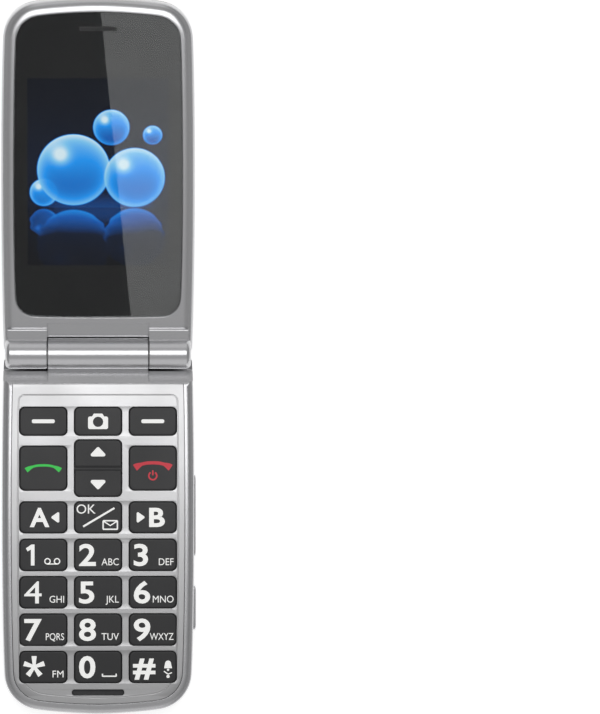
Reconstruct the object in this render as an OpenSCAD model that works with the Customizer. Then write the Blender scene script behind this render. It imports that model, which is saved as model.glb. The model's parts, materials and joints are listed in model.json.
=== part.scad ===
// Flip phone, open and lying on its back: a keypad half, a screen half and the hinge between them.
// The keypad half is drawn where it lies, with its flat rear on z = 0 and its free end towards -Y.
// The screen half is drawn closed, measured from the hinge axis, and is then turned open.

/* [Overall] */
// Width of both halves at their widest
body_w = 50.5; // [49:0.5:54]
// Hinge axis to the free end of each half
reach = 94.6; // [93:0.2:100]
// Thickness of the keypad half
base_t = 10.4; // [10.2:0.1:12]
// Thickness of the screen half
lid_t = 8.4; // [8.3:0.1:10]
// Air between the two halves when closed
halves_gap = 0.3; // [0.2:0.05:0.5]
// Angle between the halves when open
open_angle = 165; // [150:1:168]

/* [Outline] */
// Corner radius at the free ends
corner_r = 10; // [8:0.5:12]
// How far a free end swells at its middle
end_crown = 1; // [0.4:0.1:1.5]
// How far each side swells at mid length
side_bow = 0.5; // [0:0.1:1]
// How much narrower each side is at the hinge
waist = 0.35; // [0.2:0.05:1.5]
// Edge radius around the rear of the keypad half
rear_edge_r = 3.5; // [2.5:0.1:4]
// Edge radius around the outer cover
cover_edge_r = 4.5; // [3:0.1:5]
// Edge radius where the two halves meet
rim_edge_r = 0.8; // [0.4:0.1:1]
// Wall of the shells
wall = 1.3; // [1:0.1:1.6]
// Height of the line where the two base shells meet
base_split = 6.1; // [5.9:0.1:6.4]
// Height of the line where the lid frame and cover meet, above the hinge axis
lid_split = 4.2; // [4.1:0.1:4.5]

/* [Hinge] */
// Radius of the barrel and of the two ears
barrel_r = 4; // [3.6:0.1:4.2]
// Half the length of the middle barrel
barrel_half = 13.2; // [12:0.2:15]
// Gap between the barrel's ends and the ears
ear_gap = 0.15; // [0.1:0.05:0.3]
// Bore through the barrel
barrel_bore_r = 2.9; // [2.6:0.1:3]
// How far the hinge end of the lid reaches past the axis
lid_past_axis = 4.4; // [4.3:0.1:4.8]
// How far the floor of the base reaches past the axis
base_past_axis = 3.2; // [2.6:0.1:3.6]
// Length cleared in the base in front of the hinge axis for the lid's step
ear_sweep_r = 7.2; // [7.2:0.1:7.6]
// Depth below the hinge axis cleared in the base for the lid's step
step_sweep_z = 1.35; // [1.3:0.05:1.6]
// Middle, from the hinge axis, of the pocket cleared for the lid's turning end
pocket_at = [1, -2.2];
// Radius of the pocket cleared for the lid's turning end
pocket_r = 5.6; // [5.6:0.1:5.9]
// Fall of the deck towards the hinge for each mm of length
valley_fall = 0.33; // [0.28:0.01:0.36]
// Radius cleared in the base for the lid's outer edge
edge_sweep_r = 8.8; // [8.8:0.1:9]
// Running clearance of the hinge shafts
shaft_fit = 0.05; // [0.03:0.01:0.08]
// Radius of the cam shaft
cam_shaft_r = 1.25; // [1:0.05:1.5]
// Outer radius of the hollow pivot
pivot_r = 1.9; // [1.6:0.05:2.1]
// Bore of the hollow pivot
pivot_bore_r = 1.2; // [0.8:0.05:1.3]

/* [Keypad] */
// Rim of the shell beside the bright keypad plate
plate_margin = 2.4; // [1.9:0.05:2.8]
// Thickness of the keypad plate
plate_t = 0.8; // [0.6:0.1:1]
// How far the plate lies below the rim
plate_recess = 0.15; // [0.1:0.05:0.3]
// Thickness of the shell under the plate
deck_t = 0.9; // [0.7:0.1:1.1]
// Plate beside the outer key columns
key_margin = 2.35; // [2:0.05:2.6]
// Plate between two key columns
column_space = 2.05; // [1.5:0.05:2.2]
// Height of the three top keys
soft_h = 7.3; // [6.8:0.1:7.6]
// Height of the call and end keys
call_h = 11.5; // [11:0.1:12]
// Height of the up and down rocker
nav_h = 14.8; // [14:0.1:14.9]
// Height of the A, OK and B keys
ok_h = 8.1; // [7.6:0.1:8.3]
// Hinge axis to the top of the number keys
digits_top = 48.7; // [48.4:0.1:49.4]
// Plate between two rows of number keys
row_space = 1.6; // [1.4:0.05:2]
// Free end to the last row of number keys
digits_in = 8.3; // [8:0.1:9]
// Corner radius of the keys
key_r = 1.3; // [0.8:0.1:1.8]
// How far the keys stand above the plate
key_proud = 0.25; // [0.1:0.05:0.3]
// How far a key sinks when pressed
key_travel = 0.3; // [0.2:0.05:0.35]
// Free end to the microphone slot
mic_in = 5.7; // [5.4:0.1:6]
// Gap around each key
key_gap = 0.15; // [0.1:0.05:0.25]
// Foot that keeps each key from falling out
key_foot = 0.4; // [0.3:0.05:0.5]

/* [Side keys] */
// Length of the volume rocker
volume_len = 21.3; // [18:0.1:24]
// Length of the single side key
side_key_len = 11.6; // [9:0.1:14]
// Hinge axis to the middle of the volume rocker
volume_at = 42.55; // [41:0.05:44]
// Hinge axis to the middle of the single side key
side_key_at = 66.8; // [65:0.1:69]
// Height of both side keys
side_key_h = 2.6; // [2:0.1:3]
// How far they stand out of the side
side_key_proud = 0.6; // [0.4:0.1:0.8]

/* [Screen side] */
// Frame beside the inner glass
glass_side = 3.3; // [2.6:0.05:3.4]
// Frame beyond the inner glass at the free end
glass_end = 3.1; // [2.6:0.1:3.6]
// Hinge axis to the near edge of the inner glass
glass_start = 9.8; // [9.6:0.1:10.5]
// Thickness of both glasses
glass_t = 0.8; // [0.6:0.1:0.9]
// How far the inner glass lies below its frame
glass_recess = 0.2; // [0.15:0.05:0.3]
// Glass beside the inner picture
screen_side = 3.6; // [3:0.1:4.6]
// Hinge axis to the near edge of the inner picture
screen_start = 23.6; // [23:0.1:25]
// Free end to the inner picture
screen_in = 21; // [20.4:0.1:23]
// Free end to the earpiece slot
earpiece_in = 7.9; // [7.2:0.1:8.4]

/* [Outer cover] */
// Cover beside the outer glass
outer_glass_side = 6.75; // [6:0.05:7.5]
// Free end to the outer glass
outer_glass_in = 22.7; // [22:0.1:24]
// Hinge axis to the near edge of the outer glass
outer_glass_start = 14.2; // [14:0.1:14.8]
// Glass beside the outer picture
outer_screen_side = 4.5; // [4:0.1:5.5]
// Hinge axis to the near edge of the outer picture
outer_screen_start = 27.8; // [27.4:0.1:29]
// Free end to the outer picture
outer_screen_in = 31.8; // [31:0.1:33]
// Hinge axis to the camera
camera_at = 17.8; // [17.5:0.1:18.5]
// Hinge axis to the speaker slot
speaker_at = 9.1; // [8.8:0.1:9.3]
// Free end to the middle of the outer keys
outer_key_in = 16.2; // [15.6:0.1:17]
// Depth of the outer keys, along the phone
outer_key_h = 7.3; // [6.6:0.1:7.6]

/* [Battery] */
// Rear shell beside the battery
battery_side = 8.25; // [7.5:0.25:9]
// Battery length
battery_len = 50; // [46:0.5:51]
// Battery thickness
battery_t = 4; // [3.6:0.1:4.1]
// Thickness of the battery cover
cover_t = 1.2; // [1:0.1:1.3]
// Length of the battery cover
cover_len = 70; // [68:0.5:72]
// Rear shell beside the battery cover
cover_side = 3.25; // [2.8:0.05:3.5]

/* [Hidden] */
free_y = -reach / 2;
hinge_y = reach / 2;
hinge_z = base_t + halves_gap / 2;
lid_z = halves_gap / 2;
lid_top = lid_z + lid_t;
far = 60;
mid_fn = 40;
fine_fn = 64;
tight = 0.05;

// Heights in the base, from the keypad plate down to the battery.
plate_top = base_t - plate_recess;
deck_top = plate_top - plate_t;
deck_low = deck_top - deck_t;
key_top = plate_top + key_proud;
foot_top = deck_low - tight;
foot_t = 0.4;
key_low = foot_top - foot_t;
membrane_t = 0.5;
membrane_top = key_low - key_travel - 0.1;
dome_t = 0.12;
dome_top = membrane_top - membrane_t - tight;
board_t = 0.8;
board_low = base_split + tight;
web_t = 0.6;
bay_top = base_split - web_t;
battery_low = cover_t + 0.2;

// Lengths in the base.
rear_wall_y = hinge_y - ear_sweep_r - wall - 0.4;
plate_start = ear_sweep_r + 0.7;
plate_end = reach - 2;
mic_at = reach - mic_in;
plate_w = body_w - 2 * plate_margin;
key_w = (plate_w - 2 * key_margin - 2 * column_space) / 3;
column_pitch = key_w + column_space;
digit_h = (reach - digits_in - digits_top - 3 * row_space) / 4;
digit_pitch = digit_h + row_space;
pad_half = column_pitch + key_w / 2;
mic_slot = [13.7, 1.6];
soft_at = 17.75;
call_at = 30.05;
ok_at = 42.95;
digits_at = digits_top + digit_h / 2;
cover_y0 = free_y + 3.2;
battery_y0 = cover_y0 + 6;
contact_len = 1.6;
contact_pitch = 3;
card_w = 12.6;
cover_w = body_w - 2 * cover_side;
battery_w = body_w - 2 * battery_side;
bay_len = battery_len + 12.5;
volume_y = hinge_y - volume_at;
side_key_y = hinge_y - side_key_at;
side_x = body_w / 2;
base_corner_r = 6;
usb = [7.6, 5.2, 2.7];
usb_z = base_split - 0.4;
contact_x = 9;
contact_z = rear_edge_r + 0.6;
contact_r = 0.9;
contact_pin = 3.2;
side_foot_t = 0.35;
rocker_foot = 3;
board_y0 = hinge_y - digits_at - 3 * digit_pitch - digit_h / 2 - 0.1;
board_y1 = rear_wall_y - 0.4;
board_w = body_w - 2 * wall - 3.6;
mic_x = 6.7;
motor_x = side_x - corner_r - 3.7;
motor_r = 2.5;
antenna_w = 9;
antenna_x = corner_r + 1.1 + antenna_w / 2 - side_x;
base_screw_at = [[side_x - 6, rear_wall_y - 1.8], [side_x - battery_side - 0.5, cover_y0 + 2.9]];
base_boss_r = 1.6;
screw_r = 0.7;
screw_head_r = 1.4;
flex_x = [-8.6, -1.4];
flex_r = 2.3;
flex_z = board_low + board_t + tight;
tab_y = [-0.3 * cover_len, 0.3 * cover_len];

// Heights in the lid, from the inner face out to the cover, above the hinge axis.
glass_z = lid_z + glass_recess;
bezel_low = glass_z + glass_t;
bezel_top = bezel_low + 0.8;
display_t = 1.8;
lid_board_z = bezel_top + display_t + 0.35;
outer_glass_z = lid_top - 0.1 - glass_t;
cover_low = outer_glass_z - 0.8;
outer_display_t = 1.6;
outer_key_top = lid_top + 0.1;
outer_foot_top = cover_low - tight;
end_edge_r = 6;
notch_y = -1.2;
notch_half = barrel_half + ear_gap;
ear_end = body_w / 2 - waist - 0.6;
ear_end_r = 2.6;
socket_end = barrel_half + 4.3;
lid_cavity_y = -glass_start + 0.6;
speaker_slot = [12.3, 2.25];
speaker = [14, 7.4, 1.7];
earpiece_slot = [10, 1.1];
outer_key_at = reach - outer_key_in;
outer_keys_half = side_x - 6.05;
outer_key_w = outer_keys_half * [0.6, 0.636, 0.61];
outer_key_x = [outer_key_w[0] / 2 - outer_keys_half, 0, outer_keys_half - outer_key_w[2] / 2];
outer_glass_w = body_w - 2 * outer_glass_side;
outer_glass_len = reach - outer_glass_start - outer_glass_in;
outer_screen_w = outer_glass_w - 2 * outer_screen_side;
outer_screen_len = reach - outer_screen_start - outer_screen_in;
outer_screen_mid = outer_screen_start + outer_screen_len / 2;
glass_w = body_w - 2 * glass_side;
screen_w = glass_w - 2 * screen_side;
screen_len = reach - screen_start - screen_in;
screen_mid = screen_start + screen_len / 2;
glass_len = reach - glass_start - glass_end;
earpiece_at = reach - earpiece_in;
lid_screw_at = [[side_x - 5.6, -glass_start - 3.6], [side_x - 6, glass_end + 3.5 - reach]];
module_margin = 3.8;
cover_inset = wall + 1.6;
lid_board_x = side_x - waist - cover_inset - 0.8;
camera_half = 3.6;
camera_lens_r = 2.9;
earpiece_size = [12, 5];
magnet_x = [10, 14];

// Each key of the keypad: name, column, hinge axis to its middle, height.
DIGIT_NAMES = [
    ["key_1", "key_2", "key_3"],
    ["key_4", "key_5", "key_6"],
    ["key_7", "key_8", "key_9"],
    ["key_star", "key_0", "key_hash"]
];
KEYS = concat(
    [
        ["softkey_left", -1, soft_at, soft_h],
        ["camera_key", 0, soft_at, soft_h],
        ["softkey_right", 1, soft_at, soft_h],
        ["call_key", -1, call_at, call_h],
        ["end_key", 1, call_at, call_h],
        ["key_a", -1, ok_at, ok_h],
        ["key_ok", 0, ok_at, ok_h],
        ["key_b", 1, ok_at, ok_h]
    ],
    [
        for (row = [0:3], column = [0:2])
            [DIGIT_NAMES[row][column], column - 1, digits_at + row * digit_pitch, digit_h]
    ]
);
NAV = ["nav_rocker", 0, call_at, nav_h];
OUTER_KEYS = ["outer_call_key", "outer_clock_key", "outer_end_key"];

// Shared shapes.
function arc(c, r, from, to, n) =
    [for (i = [0:n]) c + r * [cos(from + (to - from) * i / n), sin(from + (to - from) * i / n)]];

// Discs whose hull is the outline of one half, seen from the front: x, y, radius, edge radius.
function outline(y_free, y_hinge, hinge_corner, edge_r, hinge_edge_r, inset = 0) = [
    for (s = [-1, 1]) each [
        [s * (body_w / 2 - side_bow - corner_r), y_free + end_crown + corner_r, corner_r - inset, edge_r],
        [s * (body_w / 2 - corner_r), (y_free + y_hinge) / 2, corner_r - inset, edge_r],
        [s * (body_w / 2 - waist - hinge_corner), y_hinge - hinge_corner,
            hinge_corner - inset, hinge_edge_r]
    ],
    [0, y_free + 2 * corner_r, 2 * corner_r - inset, edge_r]
];

module puck(r, z0, z1, low_r, high_r)
    rotate_extrude($fn = mid_fn)
        polygon(concat(
            [[0, z0]],
            arc([r - low_r, z0 + low_r], low_r, -90, 0, 4),
            arc([r - high_r, z1 - high_r], high_r, 0, 90, 5),
            [[0, z1]]
        ));

module plan(discs)
    hull()
        for (d = discs)
            translate([d[0], d[1]]) circle(d[2], $fn = fine_fn);

module bar(from, to)
    translate(from) cube(to - from);

// Upright block with rounded corners, centred on x, y and resting on z.
module pad(size, at, r, z0, z1)
    translate([at[0], at[1], z0])
        linear_extrude(z1 - z0) {
            square([size[0] - 2 * r, size[1]], center = true);
            square([size[0], size[1] - 2 * r], center = true);
            for (sx = [-1, 1], sy = [-1, 1])
                translate([sx * (size[0] / 2 - r), sy * (size[1] / 2 - r)]) circle(r, $fn = mid_fn);
        }

// Cylinder along X, from one x to another.
module rod(r, x0, x1)
    translate([x0, 0, 0]) rotate([0, 90, 0]) cylinder(r = r, h = x1 - x0, $fn = fine_fn);

module at_hinge()
    translate([0, hinge_y, hinge_z]) children();

module on_lid()
    at_hinge() rotate([-open_angle, 0, 0]) children();

module both_sides()
    for (s = [0, 1]) mirror([s, 0, 0]) children();

// The keypad half before it is hollowed.
module base_form()
    hull()
        for (d = outline(free_y, hinge_y + base_past_axis, base_corner_r, rear_edge_r, rear_edge_r))
            translate([d[0], d[1], 0]) puck(d[2], 0, base_t, d[3], rim_edge_r);

// Room above a deck that falls towards the hinge from the place y below the axis, from x0 outwards.
module valley(y, z, x0)
    rotate([90, 0, 90])
        translate([0, 0, x0]) linear_extrude(far - x0)
            polygon([[-y, -z], [1.8, -z - (1.8 + y) * valley_fall], [1.8, far], [-y, far]]);

// What the turning lid passes through, taken out of the keypad half, and the valley at the hinge.
module lid_sweep()
    at_hinge() {
        valley(plate_start - 0.05, hinge_z - base_t, -far);
        both_sides() {
            translate([0, pocket_at[0], pocket_at[1]]) rod(pocket_r, barrel_half, far);
            valley(ear_sweep_r, step_sweep_z, barrel_half);
            difference() {
                rod(edge_sweep_r, barrel_half, far);
                bar([0, -far, -far], [2 * far, -1.6, far]);
            }
        }
        difference() {
            rod(edge_sweep_r, -far, far);
            bar([-2 * far, -far, -far], [2 * far, 1.8, far]);
        }
        bar([-far, 1.8, -2], [far, far, far]);
    }

module base_outline(inset)
    plan(outline(free_y, hinge_y + base_past_axis, base_corner_r, 1, 1, inset));

module key_openings(z0, z1)
    for (k = concat(KEYS, [NAV]))
        pad([key_w + 2 * key_gap, k[3] + 2 * key_gap], [k[1] * column_pitch, hinge_y - k[2]],
            key_r + key_gap, z0, z1);

// How far the side of the base lies from the middle, at a height y along it.
function side_at(y) =
    let (mid = base_past_axis / 2)
    y < mid ? body_w / 2 - side_bow * (mid - y) / (mid - free_y - end_crown - corner_r)
            : body_w / 2 - waist * (y - mid) / (hinge_y + base_past_axis - base_corner_r - mid);

// Slot for a side key, with room for its foot behind the wall.
module side_slot(y, len, foot_len)
    {
        z = side_key_h / 2 + key_gap;
        bar([side_at(y) - wall - 1.2, y - len / 2 - key_gap, base_split - z],
            [side_x + 2, y + len / 2 + key_gap, base_split + z]);
        bar([side_at(y) - wall - 1.2, y - foot_len / 2 - key_gap, base_split - z - key_foot],
            [side_at(y) - wall, y + foot_len / 2 + key_gap, base_split + z + key_foot]);
    }

module side_slots()
    {
        side_slot(volume_y, volume_len, rocker_foot);
        side_slot(side_key_y, side_key_len, side_key_len + 2 * key_foot);
    }

module usb_recess()
    bar([-usb[0] / 2 - tight, free_y - 2, usb_z - tight],
        [usb[0] / 2 + tight, free_y + usb[1] + 0.6, usb_z + usb[2] + tight]);

module plate_area(inset)
    intersection() {
        base_outline((body_w - plate_w) / 2 + inset);
        translate([-far, hinge_y - plate_end + inset])
            square([2 * far, plate_end - plate_start - 2 * inset]);
    }

module screw(head_z, tip_z)
    {
        s = sign(tip_z - head_z);
        translate([0, 0, min(head_z, tip_z)]) cylinder(r = screw_r, h = abs(tip_z - head_z), $fn = mid_fn);
        difference() {
            translate([0, 0, min(head_z, head_z + s * 0.7)])
                cylinder(r = screw_head_r, h = 0.7, $fn = mid_fn);
            for (a = [0, 90])
                rotate([0, 0, a]) bar([-0.9, -0.2, head_z - 0.35], [0.9, 0.2, head_z + 0.35]);
        }
    }

// Keypad half: shells.
module base_front_shell() color("silver")
    difference() {
        union() {
            difference() {
                intersection() {
                    base_form();
                    bar([-far, -far, base_split], [far, 2 * far, base_t]);
                }
                lid_sweep();
            }
            at_hinge() rod(barrel_r, -barrel_half, barrel_half);
        }
        at_hinge() rod(barrel_bore_r, -far, far);
        difference() {
            translate([0, 0, base_split - 1]) linear_extrude(deck_low - base_split + 1) base_outline(wall);
            bar([-far, rear_wall_y, 0], [far, far, base_t]);
            for (p = base_screw_at)
                both_sides() translate([p[0], p[1], 0]) cylinder(r = base_boss_r, h = base_t, $fn = mid_fn);
        }
        for (p = base_screw_at)
            both_sides() translate([p[0], p[1], 0])
                cylinder(r = screw_r + tight, h = deck_low - 0.3, $fn = mid_fn);
        translate([0, 0, deck_top]) linear_extrude(2) plate_area(0);
        key_openings(deck_low - 1, base_t + 1);
        pad(mic_slot, [0, hinge_y - mic_at], 0.7, deck_low - 1, base_t + 1);
        side_slots();
        usb_recess();
        flex_passage();
    }

module flex_passage()
    {
        at_hinge() bar([flex_x[0] - 0.4, -0.6, -far], [flex_x[1] + 0.4, 0.6, 0]);
        bar([flex_x[0] - 0.4, rear_wall_y - 2, flex_z - tight], [flex_x[1] + 0.4, hinge_y, flex_z + 0.6]);
    }

module base_rear_shell() color("dimgray")
    difference() {
        intersection() {
            base_form();
            bar([-far, -far, 0], [far, 2 * far, base_split]);
        }
        lid_sweep();
        cover_outline(2 * tight);
        bar([-battery_w / 2 - 0.2, battery_y0 - 0.2, -1],
            [battery_w / 2 + 0.2, battery_y0 + bay_len, bay_top]);
        both_sides()
            bar([battery_w / 2 + 1.2, battery_y0 + 4, cover_t + 1],
                [side_x - wall - 1.6, base_screw_at[0][1] - 4, base_split + 1]);
        side_slots();
        usb_recess();
        for (p = base_screw_at)
            both_sides() translate([p[0], p[1], 0]) {
                cylinder(r = screw_r + tight, h = far, $fn = mid_fn);
                translate([0, 0, -1]) cylinder(r = screw_head_r + 0.1, h = cover_t + 1.9, $fn = mid_fn);
            }
        both_sides() contact_bore();
        cover_tabs(0.15);
    }

module cover_outline(grow)
    pad([cover_w + 2 * grow, cover_len + 2 * grow], [0, cover_y0 + cover_len / 2],
        6 + grow, -1, cover_t + grow);

module cover_tabs(gap)
    for (y = tab_y)
        both_sides()
            translate([cover_w / 2 - 2.6, cover_y0 + cover_len / 2 + y, 0])
                bar([-0.4 - gap, -2.5 - gap, 0.6], [0.4 + gap, 2.5 + gap, cover_t + 1.3 + gap]);

// The cover lies flush with the rear, its lower face on z = 0, and has a thumb groove near the hinge.
module battery_cover() color("dimgray")
    union() {
        difference() {
            intersection() {
                base_form();
                cover_outline(0);
            }
            translate([0, cover_y0 + cover_len - 4, -2.2]) rotate([0, 90, 0])
                translate([0, 0, -7]) cylinder(r = 2.8, h = 14, $fn = fine_fn);
        }
        intersection() {
            cover_tabs(0);
            bar([-far, -far, cover_t - 0.2], [far, far, far]);
        }
    }

module keypad_plate() color("gainsboro")
    difference() {
        translate([0, 0, deck_top]) linear_extrude(plate_t) plate_area(0.1);
        key_openings(deck_top - 1, base_t + 1);
        pad(mic_slot, [0, hinge_y - mic_at], 0.7, deck_top - 1, base_t + 1);
    }

module keypad_membrane() color("whitesmoke")
    difference() {
        bar([-pad_half - 0.6, board_y0 + 0.2, membrane_top - membrane_t],
            [pad_half + 0.6, hinge_y - soft_at + soft_h / 2 + 0.4, membrane_top]);
        for (s = [-1, 1], row = [0:3])
            translate([s * column_pitch / 2, hinge_y - digits_at - (row - 0.5) * digit_pitch, 0])
                cylinder(r = 0.6, h = far, $fn = mid_fn);
    }

// A sheet with one thin metal dome under each key.
module dome_sheet() color("lightsteelblue")
    {
        bar([-pad_half, board_y0 + 0.5, dome_top - dome_t],
            [pad_half, hinge_y - soft_at + soft_h / 2, dome_top]);
        for (k = concat(KEYS, [["up", 0, call_at - nav_h / 3, 0], ["down", 0, call_at + nav_h / 3, 0]]))
            translate([k[1] * column_pitch, hinge_y - k[2], board_low + board_t])
                cylinder(r = 2, h = dome_top - board_low - board_t, $fn = mid_fn);
    }

module main_board() color("darkgreen")
    {
        difference() {
            bar([-board_w / 2, board_y0, board_low], [board_w / 2, board_y1, board_low + board_t]);
            for (p = base_screw_at)
                both_sides() translate([p[0], p[1], 0]) cylinder(r = 2, h = far, $fn = mid_fn);
        }
        for (y = [volume_y - volume_len / 3, volume_y + volume_len / 3, side_key_y])
            bar([pad_half + 0.75, y - 1.6, board_low + board_t - 0.01],
                [side_at(y) - wall - side_foot_t - key_travel - 0.3, y + 1.6, board_low + board_t + 0.6]);
        bar([flex_x[0] + 0.2, board_y1 - 4.4, board_low + board_t - 0.01],
            [flex_x[1] - 0.2, board_y1 - 2, board_low + board_t + 0.5]);
    }

module battery() color("darkslategray")
    {
        pad([battery_w, battery_len], [0, battery_y0 + battery_len / 2],
            1.5, battery_low, battery_low + battery_t);
    }

module battery_contacts() color("gold")
    for (x = contact_pitch * [-1, 0, 1])
        bar([x - 0.7, battery_y0 + battery_len + 0.05, battery_low + 0.6],
            [x + 0.7, battery_y0 + battery_len + contact_len, bay_top]);

module card_socket() color("lightgray")
    difference() {
        bar([-card_w / 2 - 1.7, battery_y0 + battery_len + contact_len + 0.8, bay_top - 1.5],
            [card_w / 2 + 1.7, battery_y0 + bay_len - 0.3, bay_top]);
        bar([-card_w / 2, battery_y0 + battery_len + contact_len, bay_top - 1.1],
            [card_w / 2, battery_y0 + bay_len - 1, bay_top - 0.3]);
    }

module vibration_motor() color("silver")
    translate([motor_x, board_y0 - motor_r - 0.4, base_split])
        cylinder(r = motor_r, h = deck_low - base_split - tight, $fn = fine_fn);

module usb_port() color("lightgray")
    translate([0, free_y + 0.3, usb_z]) {
        difference() {
            bar([-usb[0] / 2, 0, 0], [usb[0] / 2, usb[1], usb[2]]);
            bar([-usb[0] / 2 + 0.35, -1, 0.4], [usb[0] / 2 - 0.35, usb[1] - 0.5, usb[2] - 0.4]);
        }
        bar([-1.9, 0.6, 1.2], [1.9, usb[1] - 0.4, 1.7]);
    }

module contact_bore()
    translate([contact_x, free_y - 1, contact_z]) rotate([-90, 0, 0])
        cylinder(r = contact_r + 0.02, h = contact_pin + 1.4, $fn = mid_fn);

module charge_contacts() color("gold")
    both_sides()
        translate([contact_x, free_y + 0.35, contact_z]) rotate([-90, 0, 0])
            cylinder(r = contact_r, h = contact_pin, $fn = mid_fn);

module microphone() color("dimgray")
    translate([mic_x, hinge_y - mic_at, base_split])
        cylinder(r = 1.9, h = deck_low - base_split - 0.1, $fn = fine_fn);

module antenna() color("peru")
    pad([antenna_w, 3.6], [antenna_x, free_y + wall + end_crown + 3], 0.6, base_split, deck_low - tight);

// Side key: its face swells slightly, and a foot behind the wall keeps it in.
module side_button(y, len, foot_len)
    {
        inner = side_at(y) - wall - 0.1;
        swell_r = len * len / 2;
        intersection() {
            bar([inner - side_foot_t, y - len / 2, base_split - side_key_h / 2],
                [side_x + side_key_proud, y + len / 2, base_split + side_key_h / 2]);
            translate([side_x + side_key_proud - swell_r, y, 0])
                cylinder(r = swell_r, h = far, $fn = 256);
        }
        bar([inner - side_foot_t, y - foot_len / 2, base_split - side_key_h / 2 - key_foot],
            [inner, y + foot_len / 2, base_split + side_key_h / 2 + key_foot]);
    }

// The volume rocker tips on the foot at its middle, and the side key slides straight in.
module volume_rocker() color("silver")
    side_button(volume_y, volume_len, rocker_foot);

module side_key() color("silver")
    side_button(side_key_y, side_key_len, side_key_len + 2 * key_foot);

module base_screws() color("silver")
    for (p = base_screw_at)
        both_sides() translate([p[0], p[1], 0]) screw(cover_t + 0.15, deck_low - 0.4);

// Soft plugs over the two screws that the battery cover leaves free.
module screw_plugs() color("dimgray")
    both_sides() translate([base_screw_at[0][0], base_screw_at[0][1], 0.05])
        cylinder(r = screw_head_r + 0.05, h = cover_t, $fn = mid_fn);

// Hinge: the spring unit, bush and cable roll sit in the barrel, the cam shaft and tube in the ears.
module hinge_spring_unit() color("gray")
    at_hinge() difference() {
        union() {
            rod(barrel_bore_r - shaft_fit, 1.5, barrel_half - 0.1);
            rod(1.8, 0.9, 1.6);
        }
        rod(cam_shaft_r + shaft_fit, 8.6, barrel_half + 1);
    }

module hinge_bush() color("gray")
    at_hinge() difference() {
        rod(barrel_bore_r - shaft_fit, -barrel_half + 0.1, -10.2);
        rod(pivot_r + shaft_fit, -far, far);
    }

module hinge_flex() color("darkorange")
    {
        at_hinge() difference() {
            rod(flex_r, flex_x[0], flex_x[1]);
            rod(flex_r - 0.3, -far, far);
        }
        bar([flex_x[0], hinge_y - 0.1, flex_z], [flex_x[1], hinge_y + 0.1, hinge_z - flex_r + 0.15]);
        bar([flex_x[0], board_y1 - 1.8, flex_z], [flex_x[1], hinge_y + 0.1, flex_z + 0.2]);
    }

module hinge_cam_shaft() color("gray")
    on_lid() {
        rod(cam_shaft_r, 8.8, barrel_half + 1);
        bar([barrel_half + 0.9, -1.3, -1.3], [socket_end - 0.1, 1.3, 1.3]);
    }

module hinge_pivot_tube() color("gray")
    on_lid() difference() {
        rod(pivot_r, 0.1 - socket_end, -10.4);
        rod(pivot_bore_r, -far, far);
    }

// Keypad keys.
module key_cap(k)
    translate([k[1] * column_pitch, hinge_y - k[2], 0]) {
        pad([key_w, k[3]], [0, 0], key_r, key_low, key_top - 0.25);
        pad([key_w - 0.5, k[3] - 0.5], [0, 0], key_r - 0.25, key_low, key_top);
    }

module key(k) color("dimgray")
    {
        key_cap(k);
        pad([key_w + 2 * key_foot, k[3] + 2 * key_foot], [k[1] * column_pitch, hinge_y - k[2]],
            key_r, key_low, foot_top);
    }

// The up and down rocker tips on lugs at the middle of its two sides.
module nav_rocker() color("dimgray")
    {
        difference() {
            key_cap(NAV);
            translate([0, hinge_y - call_at, key_top + 0.55]) rotate([0, 90, 0])
                translate([0, 0, -key_w / 2 - 1]) cylinder(r = 0.9, h = key_w + 2, $fn = mid_fn);
        }
        pad([key_w + 2 * key_foot, 3], [0, hinge_y - call_at], 0.3, key_low, foot_top - 0.1);
    }

// Screen half: shells.
module lid_form()
    hull()
        for (d = outline(-reach, lid_past_axis, end_edge_r + 0.5, cover_edge_r, end_edge_r))
            translate([d[0], d[1], 0]) puck(d[2], lid_z, lid_top, rim_edge_r, d[3]);

module lid_outline(inset)
    plan(outline(-reach, lid_past_axis, end_edge_r + 0.5, 1, 1, inset));

// Room for the barrel in the middle of the hinge end.
module barrel_notch()
    {
        rod(barrel_r + 0.35, -notch_half, notch_half);
        bar([-notch_half, notch_y, -far], [notch_half, far, far]);
        bar([-notch_half, -4.9, -1], [notch_half, 0, 1.6]);
        bar([-notch_half, -8.2, -1], [notch_half, 0, lid_z + 0.5]);
    }

module ears()
    both_sides() {
        rod(barrel_r, notch_half, ear_end - ear_end_r);
        translate([ear_end - ear_end_r, 0, 0]) rotate([0, 90, 0])
            rotate_extrude($fn = fine_fn)
                polygon(concat(
                    [[0, 0]],
                    arc([barrel_r - ear_end_r, 0], ear_end_r, 0, 90, 6),
                    [[0, ear_end_r]]
                ));
    }

// A raised step on the inner face that fills the base's hollow when closed.
module steps()
    both_sides() {
        bar([notch_half, -6.8, -0.6], [ear_end - 0.6, -2.4, lid_z + 0.5]);
        translate([0, -6.4, -0.6]) rod(0.4, notch_half, ear_end - 0.6);
        bar([notch_half, -6.4, -1], [ear_end - 0.6, -3, lid_z]);
    }

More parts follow.
